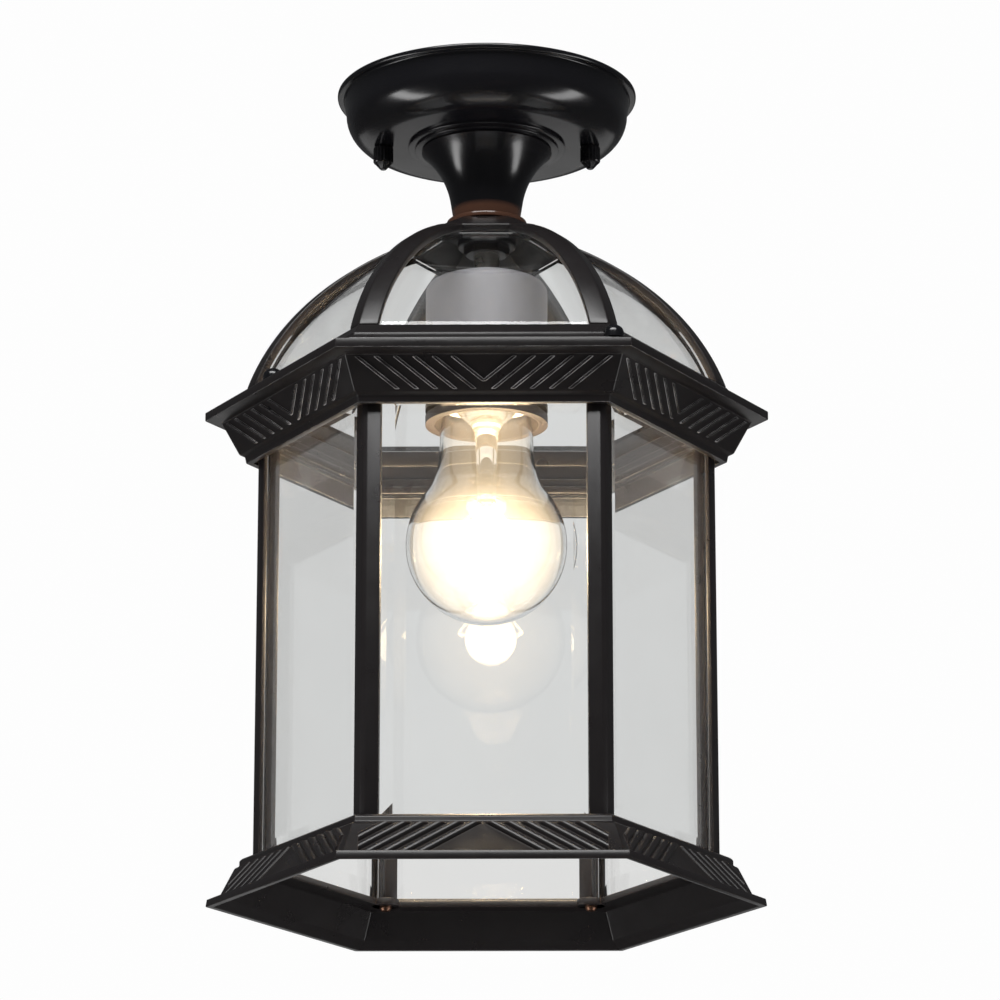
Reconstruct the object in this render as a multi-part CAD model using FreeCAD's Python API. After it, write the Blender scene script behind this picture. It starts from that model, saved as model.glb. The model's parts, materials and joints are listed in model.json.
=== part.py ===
import FreeCAD, Part
import math
import os

# A six-sided porch ceiling lantern: a round canopy, a short flared neck, a glazed hexagonal dome,
# a cast cornice, six corner posts with flat panes, and a cast bottom ring open underneath.
# Millimetres, +Z up. The origin is the centre of the canopy's ceiling face and the lantern
# hangs below it. The hexagon has corners on +X and -X and flat sides facing +Y and -Y.
# A hexagon's size is given as its apothem, from the axis to the middle of a flat side.

SIDES = 6
HALF_ANGLE = math.pi / SIDES

# Canopy: a spun steel pan with a rolled rim
CANOPY_RIM_OUT = 3.7
CANOPY_RIM_WIDTH = 2.6
CANOPY_RIM_EDGE = 0.8
CANOPY_FLANGE_DEPTH = 2.0
CANOPY_BODY_R = 53.4
CANOPY_SIDE_DEPTH = 8.2
CANOPY_SIDE_TAPER = 1.2
CANOPY_SHOULDER_TURN = 11.6
CANOPY_DEPTH = 20.5
CANOPY_WALL = 1.2

# Straps hidden in the canopy; the upper one is screwed to the outlet box
STRAP_GAP = 1.2
STRAP_WIDTH = 20.0
STRAP_THICK = 1.6
BOX_SLOT_EDGE = 3.05
BOX_SLOT_LENGTH = 7.0
BOX_SLOT_WIDTH = 4.6
STUD_INSET = 1.1
STUD_R = 2.0
STUD_GAP = 0.4
STUD_THREAD_IN_NUT = 1.5
CAP_NUT_R = 3.8
CAP_NUT_LENGTH = 8.9
CAP_NUT_TIP_R = 1.35
CAP_NUT_TIP_LENGTH = 2.6
CAP_NUT_TOP_CHAMFER = 0.4
CAP_NUT_FLOOR = 1.0
CAP_NUT_FLUTES = 12
CAP_NUT_FLUTE_DEPTH = 0.35

# Threaded tube on the axis that carries everything, and its nuts
TUBE_R = 4.85
TUBE_BORE_R = 3.2
TUBE_TOP_DEPTH = 0.3
THREAD_GAP = 0.1
NUT_WIDTH = 15.0
NUT_THICK = 3.4
NUT_CHAMFER = 1.2

# Neck stack
COLLAR_R = 30.0
COLLAR_STEP_R = 27.4
COLLAR_THICK = 1.1
COLLAR_STEP_THICK = 0.8
COLLAR_EDGE = 0.3
NECK_TOP_R = 24.8
NECK_LIP = 0.7
NECK_WAIST_R = 13.7
NECK_WAIST_DEPTH = 21.0
NECK_BASE_R = 12.5
NECK_THROAT_R = 14.2
NECK_THROAT_DEPTH = 8.0
NECK_LENGTH = 28.8
NECK_WALL = 2.4
NECK_FLOOR = 4.0
WASHER_R = 15.2
WASHER_THICK = 1.8

# Dome: its section through the middle of a flat side is one arc
DOME_ARC_R = 89.0
CROWN_TOP_A = 14.0
CROWN_RIM_A = 26.9
CROWN_RIM_DROP = 7.63
CROWN_THICK = 3.0
CROWN_UNDERCUT = 1.0
CROWN_BOSS_R = 11.0
CROWN_BOSS_DROP = 7.2
RIB_FLANGE = 7.2
RIB_THICK = 3.0
DOME_GLASS = 2.2
GLASS_GAP = 0.2
DOME_PANE_EDGE = 3.0

# Moulded ring that carries the dome on the cornice
DOME_RING_DROP = 64.1
DOME_RING_HEIGHT = 9.2
DOME_RING_SEAT = 5.35
DOME_RING_MOULD = 5.65
DOME_RING_FOOT = 2.7
DOME_RING_COVE = 3.0
DOME_RING_COVE_DROP = 3.6
DOME_RING_REBATE = 3.1
DOME_SCREW_R = 3.7
DOME_SCREW_HEAD = 5.0
DOME_SCREW_DOME = 3.0
DOME_SCREW_SHANK_R = 1.7
DOME_SCREW_LENGTH = 11.0
DOME_SCREW_BOSS_WALL = 2.4
DOME_SCREW_CORNER_INSET = 3.03
DOME_SCREW_SIDE_INSET = 0.74
DOME_SCREW_CORNERS = (60.0, 300.0)
DOME_SCREW_SIDE_ANGLE = 201.0

# Cornice: a hollow casting with a lip, a herringbone slope and a band
CORNICE_LIP_OUT = 5.5
CORNICE_LIP = 3.4
CORNICE_SOFFIT = 1.0
CORNICE_SLOPE_LEAN = 5.8
CORNICE_SLOPE_HEIGHT = 12.2
CORNICE_BAND_INSET = 1.8
CORNICE_BAND_LEAN = 0.5
CORNICE_SOCKET_WALL = 2.4
CORNICE_BAND_STEP = 0.8
CORNICE_BAND = 2.7
CORNICE_WALL = 2.6
LEDGE_REACH = 6.0
LEDGE_THICK = 3.0
LEDGE_STEP = 2.0
LEDGE_STEP_WALL = 2.5
LEDGE_STEP_HEIGHT = 3.5
CORNICE_HOLLOW_EDGE = 1.0
POST_SOCKET = 7.6
CHEVRON_LINES = 6
CHEVRON_PITCH = 6.9
CHEVRON_WIDTH = 0.9
CHEVRON_HEIGHT = 0.6
CHEVRON_ANGLE = 39.0
CHEVRON_MARGIN = 0.9
CHEVRON_START = 0.76
ROOT = 0.3

# Posts and flat panes
CAGE_A = 74.5
CAGE_HEIGHT = 150.6
POST_FACE = 6.0
POST_SKIN = 1.6
POST_SLOT_EDGE = 3.9
POST_BACK_EDGE = 5.3
POST_BACK = 1.8
POST_CORNER_CUT = 1.2
POST_BOSS_R = 2.4
POST_DEPTH = 10.4
POST_MOUTH = 1.5
SCREW_R = 1.15
SCREW_HEAD_R = 2.3
SCREW_HEAD = 2.0
SCREW_LENGTH = 16.0
PANE_THICK = 2.4
PANE_GAP = 0.15
PANE_BEVEL = 7.0
PANE_BEVEL_DEPTH = 0.7
SOCKET_GAP = 1.2
PAD_R = 5.4

# Bottom ring: collar, reeded skirt and lip, open underneath
BOTTOM_COLLAR_WALL = 1.6
BOTTOM_COLLAR_FLARE = 1.1
BOTTOM_COLLAR = 3.0
BOTTOM_COLLAR_BEAD = 1.0
BOTTOM_SOCKET = 2.2
BOTTOM_SLOPE_OUT = 1.5
BOTTOM_SLOPE_LEAN = 5.1
BOTTOM_SLOPE_STEP = 0.8
BOTTOM_SLOPE_HEIGHT = 11.4
BOTTOM_LIP_OUT = 3.5
BOTTOM_LIP_LEAN = 0.4
BOTTOM_LIP = 2.9
BOTTOM_WALL = 2.6
REED_COUNT = 6
REED_PITCH = 6.2
REED_HEIGHT = 1.0
REED_ANGLE = 33.0
REED_FILL = 0.92
REED_END = 2.5
LUG_WIDTH = 5.5
LUG_THICK = 1.8
LUG_HEIGHT = 37.0
LUG_SLANT = 4.0
LUG_CORNERS = (60, 120)

# Lampholder under its cup
CUP_R = 23.0
CUP_TOP_DROP = 22.6
CUP_LENGTH = 50.9
CUP_SHOULDER_R = 4.0
CUP_WALL = 1.0
CUP_NECK_R = 20.6
CUP_NECK_LENGTH = 5.3
SHADE_RING_GROOVE = 2.0
HOLDER_R = 18.4
HOLDER_HUB_R = 9.0
HOLDER_HUB_LENGTH = 13.2
HOLDER_LENGTH = 34.0
HOLDER_CAVITY_R = 14.0
SHELL_WALL = 0.5
SHELL_LENGTH = 25.0
CONTACT_R = 4.0
CONTACT_THICK = 1.4
CONTACT_GAP = 0.3

# Lamp: a clear 60 mm pear-shaped lamp with a 26 mm screw cap
LAMP_R = 30.1
LAMP_LENGTH = 108.0
LAMP_WALL = 0.9
LAMP_CAP_R = 13.1
LAMP_CAP_WALL = 0.5
LAMP_CAP_LENGTH = 24.5
LAMP_CAP_SKIRT = 21.5
LAMP_CONTACT_R = 4.6
LAMP_THROAT_R = 16.6
LAMP_THROAT_DROP = 28.1
LAMP_TANGENT_ANGLE = 52.0
FLANK_RUNS = 5
BALL_RUNS = 12
STEM_R = 4.6
STEM_LENGTH = 38.0
FILAMENT_R = 0.35
FILAMENT_SPAN = 15.0
FILAMENT_BOW = 3.0
FILAMENT_DROP = 14.0
FILAMENT_BEAD = 0.6

# Reaches worked out from the cage and the canopy's body
socket_a = CAGE_A + SOCKET_GAP
ledge_a = CAGE_A - LEDGE_REACH
ledge_step_a = ledge_a + LEDGE_STEP
dome_ring_inner_a = ledge_step_a + LEDGE_STEP_WALL
cornice_hollow_a = dome_ring_inner_a + CORNICE_WALL
dome_foot_a = dome_ring_inner_a + DOME_RING_SEAT
dome_ring_a = dome_foot_a + DOME_RING_MOULD
dome_ring_cove_a = dome_ring_a - DOME_RING_COVE
cornice_band_low_a = socket_a + CORNICE_SOCKET_WALL
cornice_band_a = cornice_band_low_a + CORNICE_BAND_LEAN
cornice_slope_low_a = cornice_band_a + CORNICE_BAND_INSET
cornice_slope_top_a = cornice_slope_low_a + CORNICE_SLOPE_LEAN
cornice_lip_a = cornice_slope_top_a + CORNICE_LIP_OUT
bottom_collar_a = socket_a + BOTTOM_COLLAR_WALL
bottom_collar_foot_a = bottom_collar_a + BOTTOM_COLLAR_FLARE
bottom_slope_top_a = bottom_collar_foot_a + BOTTOM_SLOPE_OUT
bottom_slope_low_a = bottom_slope_top_a + BOTTOM_SLOPE_LEAN
bottom_lip_top_a = bottom_slope_low_a + BOTTOM_LIP_OUT
bottom_lip_a = bottom_lip_top_a + BOTTOM_LIP_LEAN
canopy_rim_r = CANOPY_BODY_R + CANOPY_RIM_OUT
canopy_shoulder_r = CANOPY_BODY_R - CANOPY_SIDE_TAPER
canopy_flat_r = canopy_shoulder_r - CANOPY_SHOULDER_TURN

# Heights worked out from the stack, top to bottom
z_canopy = -CANOPY_DEPTH
z_collar = z_canopy - COLLAR_THICK - COLLAR_STEP_THICK
z_neck = z_collar - NECK_LENGTH
z_crown = z_neck - WASHER_THICK
z_rim = z_crown - CROWN_RIM_DROP
z_boss = z_crown - CROWN_BOSS_DROP
z_dome_ring = z_crown - DOME_RING_DROP
z_cornice = z_dome_ring - DOME_RING_HEIGHT
z_lip = z_cornice - CORNICE_LIP
z_slope = z_lip - CORNICE_SOFFIT
z_band = z_slope - CORNICE_SLOPE_HEIGHT
z_cornice_low = z_band - CORNICE_BAND_STEP - CORNICE_BAND
z_ledge = z_cornice_low + POST_SOCKET
z_bottom = z_cornice_low - CAGE_HEIGHT
z_seat = z_bottom - BOTTOM_SOCKET
z_bottom_slope = z_bottom - BOTTOM_COLLAR - BOTTOM_SLOPE_STEP
z_bottom_lip = z_bottom_slope - BOTTOM_SLOPE_HEIGHT
z_end = z_bottom_lip - BOTTOM_LIP
z_cup = z_crown - CUP_TOP_DROP
z_cup_low = z_cup - CUP_LENGTH
z_holder = z_cup - CUP_WALL - HOLDER_HUB_LENGTH
z_holder_low = z_holder - HOLDER_LENGTH
z_contact = z_holder_low + SHELL_LENGTH - CONTACT_THICK
z_lamp_top = z_contact - CONTACT_GAP
z_lamp_tip = z_lamp_top - LAMP_LENGTH
z_cap_low = z_lamp_top - LAMP_CAP_LENGTH
z_strap = -STRAP_THICK
z_strap_low = -2 * STRAP_THICK

AXIS = FreeCAD.Vector(0, 0, 1)
ORIGIN = FreeCAD.Vector(0, 0, 0)
corner_r = CAGE_A / math.cos(HALF_ANGLE)
boss_place = corner_r - POST_DEPTH + POST_BOSS_R
corner_angles = [60.0 * index for index in range(SIDES)]
side_angles = [60.0 * index + 30.0 for index in range(SIDES)]
strap_half = CANOPY_BODY_R - CANOPY_WALL - STRAP_GAP
box_slot_place = strap_half - BOX_SLOT_EDGE - BOX_SLOT_LENGTH / 2
stud_place = canopy_flat_r - STUD_INSET


def arc_centre():
    """Centre of the dome's arc, which runs through the crown's rim and the ring's top edge."""
    across = (dome_foot_a - CROWN_RIM_A) / 2
    down = (z_rim - z_dome_ring) / 2
    half_chord = math.hypot(across, down)
    back = math.sqrt(DOME_ARC_R ** 2 - half_chord ** 2)
    return (CROWN_RIM_A + across - back * down / half_chord,
            z_rim - down - back * across / half_chord)


arc_a, z_arc = arc_centre()


def screw_place(angle, inset):
    """How far out a dome screw stands, inset from the ring's edge on its own side."""
    off_middle = math.radians(angle % 60.0 - 30.0)
    return (angle, (dome_ring_a - inset) / math.cos(off_middle))


dome_screw_places = [screw_place(angle, DOME_SCREW_CORNER_INSET) for angle in DOME_SCREW_CORNERS]
dome_screw_places.insert(1, screw_place(DOME_SCREW_SIDE_ANGLE, DOME_SCREW_SIDE_INSET))


def vec(x, y, z):
    return FreeCAD.Vector(x, y, z)


def turned(shape, degrees):
    copy = shape.copy()
    copy.rotate(ORIGIN, AXIS, degrees)
    return copy


def cylinder(radius, z_low, z_high, x=0.0, y=0.0):
    return Part.makeCylinder(radius, z_high - z_low, vec(x, y, z_low))


def tube(outer, inner, z_low, z_high):
    return cylinder(outer, z_low, z_high).cut(cylinder(inner, z_low - 1, z_high + 1))


def revolved(points):
    """Turns a closed outline of (radius, z) points about the axis."""
    wire = Part.makePolygon([vec(r, 0, z) for r, z in points + points[:1]])
    return Part.Face(wire).revolve(ORIGIN, AXIS, 360)


def revolved_edges(edges):
    return Part.Face(Part.Wire(edges)).revolve(ORIGIN, AXIS, 360)


def line(start, end):
    return Part.makeLine(vec(start[0], 0, start[1]), vec(end[0], 0, end[1]))


def arc(start, middle, end):
    return Part.Arc(vec(start[0], 0, start[1]), vec(middle[0], 0, middle[1]),
                    vec(end[0], 0, end[1])).toShape()


def hexagon(apothem, z):
    radius = apothem / math.cos(HALF_ANGLE)
    return [vec(radius * math.cos(math.radians(a)), radius * math.sin(math.radians(a)), z)
            for a in corner_angles]


def hex_prism(apothem, z_low, z_high):
    corners = hexagon(apothem, z_low)
    face = Part.Face(Part.makePolygon(corners + corners[:1]))
    return face.extrude(vec(0, 0, z_high - z_low))


def hex_turned(outline):
    """A six-sided ring with mitred corners from a closed outline of (apothem, z) points."""
    rings = [hexagon(apothem, z) for apothem, z in outline]
    faces = []
    for ring, following in zip(rings, rings[1:] + rings[:1]):
        for index in range(SIDES):
            after = (index + 1) % SIDES
            quad = [ring[index], ring[after], following[after], following[index], ring[index]]
            faces.append(Part.Face(Part.makePolygon(quad)))
    solid = Part.Solid(Part.Shell(faces))
    if solid.Volume < 0:
        solid.reverse()
    return solid


def hex_nut(z_low, thickness):
    nut = hex_prism(NUT_WIDTH / 2, z_low, z_low + thickness)
    chamfer = revolved([(0, z_low), (NUT_WIDTH / 2, z_low), (NUT_WIDTH / 2 + NUT_CHAMFER * 1.5, z_low + NUT_CHAMFER),
                        (NUT_WIDTH / 2 + NUT_CHAMFER * 1.5, z_low + thickness), (0, z_low + thickness)])
    return nut.common(chamfer).cut(cylinder(TUBE_R + THREAD_GAP, z_low - 1, z_low + thickness + 1))


# Canopy and what it hides

def canopy_profile(inset):
    """The pan's outline from the axis to the rim, moved inwards by inset."""
    bottom = -CANOPY_DEPTH + inset
    shoulder = (canopy_shoulder_r - inset, -CANOPY_SIDE_DEPTH)
    flat = (canopy_flat_r, bottom)
    width = shoulder[0] - flat[0]
    height = shoulder[1] - flat[1]
    middle = (flat[0] + width * math.sqrt(0.5), shoulder[1] - height * math.sqrt(0.5))
    turn = [line(flat, middle), line(middle, shoulder)] if inset else [arc(flat, middle, shoulder)]
    return [line((0, bottom), flat)] + turn + [
        line(shoulder, (CANOPY_BODY_R - inset, -CANOPY_FLANGE_DEPTH)),
        line((CANOPY_BODY_R - inset, -CANOPY_FLANGE_DEPTH), (CANOPY_BODY_R - inset, 0)),
        line((CANOPY_BODY_R - inset, 0), (0, 0)), line((0, 0), (0, bottom))]


def make_canopy():
    rim_section = [(canopy_rim_r - CANOPY_RIM_WIDTH - CANOPY_WALL, 0), (canopy_rim_r, 0),
                   (canopy_rim_r, -CANOPY_FLANGE_DEPTH * 0.6),
                   (canopy_rim_r - CANOPY_RIM_EDGE, -CANOPY_FLANGE_DEPTH),
                   (CANOPY_BODY_R - CANOPY_WALL, -CANOPY_FLANGE_DEPTH)]
    pan = revolved_edges(canopy_profile(0)).fuse(revolved(rim_section))
    pan = pan.cut(revolved_edges(canopy_profile(CANOPY_WALL)))
    holes = [cylinder(TUBE_R + THREAD_GAP, z_canopy - 1, 0)]
    for side in (-1, 1):
        holes.append(cylinder(STUD_R + STUD_GAP, z_canopy - 1, 0, side * stud_place))
    return pan.cut(holes).removeSplitter()


def strap_blank(z_low):
    bar = Part.makeBox(2 * strap_half, STRAP_WIDTH, STRAP_THICK,
                       vec(-strap_half, -STRAP_WIDTH / 2, z_low))
    ends = cylinder(strap_half, z_low, z_low + STRAP_THICK)
    return bar.common(ends).cut(cylinder(TUBE_R + THREAD_GAP, z_low - 1, z_low + STRAP_THICK + 1))


def make_box_strap():
    bar = strap_blank(z_strap)
    straight = BOX_SLOT_LENGTH - BOX_SLOT_WIDTH
    for side in (-1, 1):
        place = side * box_slot_place
        slot = Part.makeBox(straight, BOX_SLOT_WIDTH, STRAP_THICK + 2,
                            vec(place - straight / 2, -BOX_SLOT_WIDTH / 2, z_strap - 1))
        for end in (-1, 1):
            slot = slot.fuse(cylinder(BOX_SLOT_WIDTH / 2, z_strap - 1, 1, place + end * straight / 2))
        bar = bar.cut(slot)
    return turned(bar, 90)


def make_canopy_strap():
    bar = strap_blank(z_strap_low)
    for side in (-1, 1):
        bar = bar.cut(cylinder(STUD_R, z_strap_low - 1, 0, side * stud_place))
    return bar


def make_stud(side):
    return cylinder(STUD_R, z_canopy - CAP_NUT_LENGTH + CAP_NUT_TIP_LENGTH + STUD_THREAD_IN_NUT, z_strap,
                    side * stud_place)


def make_cap_nut(side):
    """A knurled acorn nut with a faceted point."""
    top = z_canopy - THREAD_GAP
    tip = top - CAP_NUT_LENGTH
    shoulder = tip + CAP_NUT_TIP_LENGTH
    body = revolved([(0, top), (CAP_NUT_R - CAP_NUT_TOP_CHAMFER, top),
                     (CAP_NUT_R, top - CAP_NUT_TOP_CHAMFER), (CAP_NUT_R, shoulder),
                     (CAP_NUT_TIP_R, tip), (0, tip)])
    flute = cylinder(CAP_NUT_FLUTE_DEPTH, shoulder, top, CAP_NUT_R)
    flutes = [turned(flute, 360.0 * index / CAP_NUT_FLUTES) for index in range(CAP_NUT_FLUTES)]
    body = body.cut(flutes)
    bore = cylinder(STUD_R + THREAD_GAP, shoulder + CAP_NUT_FLOOR, top + 1)
    body = body.cut(bore)
    body.translate(vec(side * stud_place, 0, 0))
    return body


def make_collar():
    z_step = z_canopy - COLLAR_THICK
    bore = TUBE_R + THREAD_GAP
    return revolved([(bore, z_canopy), (COLLAR_R, z_canopy), (COLLAR_R, z_step + COLLAR_EDGE),
                     (COLLAR_R - COLLAR_EDGE, z_step), (COLLAR_STEP_R, z_step), (COLLAR_STEP_R, z_collar),
                     (bore, z_collar)])


def flare(lip, waist, base):
    """Two arcs from the lip to the base that run smoothly into each other at the waist."""
    across, down = lip[0] - waist[0], lip[1] - waist[1]
    slope = (waist[0] - base[0]) / (waist[1] - base[1])
    tangent = vec(slope, 0, 1).normalize()
    normal = vec(tangent.z, 0, -tangent.x)
    chord = vec(across, 0, down)
    radius = chord.Length ** 2 / (2 * chord.dot(normal))
    centre = vec(waist[0], 0, waist[1]) + normal * radius
    half = (vec(lip[0], 0, lip[1]) + vec(waist[0], 0, waist[1])) * 0.5 - centre
    middle = centre + half.normalize() * radius
    return [arc(lip, (middle.x, middle.z), waist), line(waist, base)]


def make_neck():
    """A trumpet: one arc flares up from the nearly straight foot to the lip."""
    lip = (NECK_TOP_R, z_collar - NECK_LIP)
    waist = (NECK_WAIST_R, z_collar - NECK_WAIST_DEPTH)
    base = (NECK_BASE_R, z_neck)
    outer = revolved_edges(flare(lip, waist, base) + [
        line(base, (0, z_neck)), line((0, z_neck), (0, z_collar)),
        line((0, z_collar), (NECK_TOP_R, z_collar)), line((NECK_TOP_R, z_collar), lip)])
    z_floor = z_neck + NECK_FLOOR
    inner = revolved([(0, z_collar + 1), (NECK_TOP_R - NECK_WALL, z_collar + 1),
                      (NECK_TOP_R - NECK_WALL, lip[1]), (NECK_THROAT_R, z_collar - NECK_THROAT_DEPTH),
                      (NECK_WAIST_R - NECK_WALL, waist[1]), (NECK_BASE_R - NECK_WALL, z_floor),
                      (0, z_floor)])
    return outer.cut([inner, cylinder(TUBE_R + THREAD_GAP, z_neck - 1, z_collar + 1)])


def make_neck_washer():
    return tube(WASHER_R, TUBE_R + THREAD_GAP, z_crown, z_neck)


def make_stem_tube():
    return tube(TUBE_R, TUBE_BORE_R, z_holder, -TUBE_TOP_DEPTH)


# Dome

def arc_point(inset, apothem=None, z=None):
    """The point of the dome's arc, moved inwards, at a given apothem or height."""
    radius = DOME_ARC_R - inset
    if z is None:
        z = z_arc + math.sqrt(radius ** 2 - (apothem - arc_a) ** 2)
    else:
        apothem = arc_a + math.sqrt(radius ** 2 - (z - z_arc) ** 2)
    return (apothem, z)


def crown_cut(inset):
    """The point where the crown ends, on the line square to the dome's arc."""
    start = arc_point(0, apothem=CROWN_RIM_A)
    scale = (DOME_ARC_R - inset) / DOME_ARC_R
    return (arc_a + (start[0] - arc_a) * scale,
            z_arc + (start[1] - z_arc) * scale)


def arc_middle(inset, start, end):
    angle = (math.atan2(start[1] - z_arc, start[0] - arc_a)
             + math.atan2(end[1] - z_arc, end[0] - arc_a)) / 2
    radius = DOME_ARC_R - inset
    return (arc_a + radius * math.cos(angle), z_arc + radius * math.sin(angle))


def dome_sheet(outer_inset, thickness, z_low):
    """A curved plate over one flat side, facing +X, wider than the side."""
    inner_inset = outer_inset + thickness
    start_out = crown_cut(outer_inset)
    start_in = crown_cut(inner_inset)
    end_out = arc_point(outer_inset, z=z_low)
    end_in = arc_point(inner_inset, z=z_low)
    edges = [arc(start_out, arc_middle(outer_inset, start_out, end_out), end_out),
             line(end_out, end_in),
             arc(end_in, arc_middle(inner_inset, start_in, end_in), start_in),
             line(start_in, start_out)]
    face = Part.Face(Part.Wire(edges))
    face.translate(vec(0, -dome_ring_a, 0))
    return face.extrude(vec(0, 2 * dome_ring_a, 0))


def side_wedge(edge):
    """The part of the plan within one flat side facing +X, kept this far from its mitres."""
    back = edge / math.sin(HALF_ANGLE)
    reach = 2 * dome_ring_a
    half = (reach - back) * math.tan(HALF_ANGLE)
    plan = [vec(back, 0, z_cornice - 1), vec(reach, -half, z_cornice - 1),
            vec(reach, half, z_cornice - 1), vec(back, 0, z_cornice - 1)]
    return Part.Face(Part.makePolygon(plan)).extrude(vec(0, 0, z_crown - z_cornice + 2))


def make_crown():
    rim = arc_point(0, apothem=CROWN_RIM_A)
    rim_low = crown_cut(RIB_THICK)
    under = (CROWN_TOP_A - CROWN_UNDERCUT, z_crown - CROWN_THICK)
    bore_a = TUBE_R / 2
    shell = hex_turned([(bore_a, z_crown), (CROWN_TOP_A, z_crown), rim, rim_low, under,
                        (bore_a, z_crown - CROWN_THICK)])
    hub = cylinder(CROWN_BOSS_R, z_boss, z_crown)
    return shell.fuse(hub).cut(cylinder(TUBE_R + THREAD_GAP, z_boss - 1, z_crown + 1)).removeSplitter()


def make_rib(angle):
    """An angle strip over one corner of the dome, its outer edge softened."""
    sheet = dome_sheet(0, RIB_THICK, z_dome_ring)
    flange = sheet.common(side_wedge(0)).cut(side_wedge(RIB_FLANGE * math.cos(HALF_ANGLE)))
    halves = []
    for side in (-1, 1):
        half = turned(flange, side * 30.0)
        keep = Part.makeBox(2 * dome_ring_a, dome_ring_a, 2 * DOME_ARC_R,
                            vec(0, -dome_ring_a if side < 0 else 0, z_cornice - 1))
        near = half.common(keep)
        halves.append([s for s in near.Solids if abs(s.CenterOfMass.y) < dome_ring_a / 4][0])
    return turned(halves[0].fuse(halves[1]).removeSplitter(), angle)


def make_dome_ring():
    top = arc_point(0, z=z_dome_ring)
    glass_low = z_dome_ring - DOME_RING_REBATE
    rebate_a = arc_point(RIB_THICK, z=glass_low)[0] + GLASS_GAP
    ring = hex_turned([(dome_ring_inner_a, z_cornice), (dome_ring_a, z_cornice),
                       (dome_ring_a, z_cornice + DOME_RING_FOOT),
                       (dome_ring_cove_a, z_dome_ring - DOME_RING_COVE_DROP), top,
                       (rebate_a, z_dome_ring), (rebate_a, glass_low),
                       (dome_ring_inner_a, glass_low)])
    seat = z_cornice + DOME_RING_FOOT
    holes = dome_screw_posts(z_cornice - 1, z_dome_ring, DOME_SCREW_SHANK_R + THREAD_GAP)
    return ring.cut(holes + dome_screw_posts(seat, z_dome_ring + 1, DOME_SCREW_R + GLASS_GAP))


def dome_screw_posts(z_low, z_high, radius):
    return [turned(cylinder(radius, z_low, z_high, place), angle)
            for angle, place in dome_screw_places]


def make_dome_screw(angle, place):
    """A screw with a tall domed head, let into the moulding of the dome's ring."""
    seat = z_cornice + DOME_RING_FOOT
    top = seat + DOME_SCREW_HEAD
    z_side = top - DOME_SCREW_DOME
    turn_in = DOME_SCREW_DOME * (1 - math.sqrt(0.5))
    screw = revolved([(0, top), (DOME_SCREW_R * 0.45, top - DOME_SCREW_DOME * 0.1),
                      (DOME_SCREW_R * math.sqrt(0.75), top - turn_in * 1.7),
                      (DOME_SCREW_R, z_side), (DOME_SCREW_R, seat), (DOME_SCREW_SHANK_R, seat),
                      (DOME_SCREW_SHANK_R, seat - DOME_SCREW_LENGTH), (0, seat - DOME_SCREW_LENGTH)])
    screw.translate(vec(place, 0, 0))
    return turned(screw, angle)


def make_dome_pane(angle):
    inset = RIB_THICK + GLASS_GAP
    z_low = z_dome_ring - DOME_RING_REBATE + GLASS_GAP
    sheet = dome_sheet(inset, DOME_GLASS, z_low)
    return turned(sheet.common(side_wedge(DOME_PANE_EDGE)), angle)


# Cornice

def slope_frame(top_a, low_a, z_top, z_low):
    """Unit vectors down a slope facing +X and out of it, and the slope's length."""
    drop = vec(low_a - top_a, 0, z_low - z_top)
    length = drop.Length
    down = drop * (1.0 / length)
    out = vec(-down.z, 0, down.x)
    return down, out, length


def chevron_bars():
    """Raised bars on one slope facing +X: nested Vs, the middle one pointing down."""
    down, out, length = slope_frame(cornice_slope_top_a, cornice_slope_low_a, z_slope, z_band)
    top = vec(cornice_slope_top_a, 0, z_slope)
    run = length - 2 * CHEVRON_MARGIN
    lean = run / math.tan(math.radians(CHEVRON_ANGLE))
    half = CHEVRON_WIDTH / 2 / math.sin(math.radians(CHEVRON_ANGLE))
    vertex = lean * CHEVRON_START
    bars = []
    for side in (-1, 1):
        for index in range(CHEVRON_LINES):
            start = vertex + index * CHEVRON_PITCH
            end = start - lean
            steep = run
            if end < 0:
                end = 0.0
                steep = run * start / lean
            plan = [(start - half, 0), (start + half, 0), (end + half, steep), (end - half, steep)]
            base = [top + vec(0, side * across, 0) + down * (CHEVRON_MARGIN + along) - out * ROOT
                    for across, along in plan]
            face = Part.Face(Part.makePolygon(base + base[:1]))
            bars.append(face.extrude(out * (CHEVRON_HEIGHT + ROOT)))
    return bars


def corner_discs(z_low, z_high, radius):
    disc = cylinder(radius, z_low, z_high, boss_place)
    return [turned(disc, angle) for angle in corner_angles]


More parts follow.
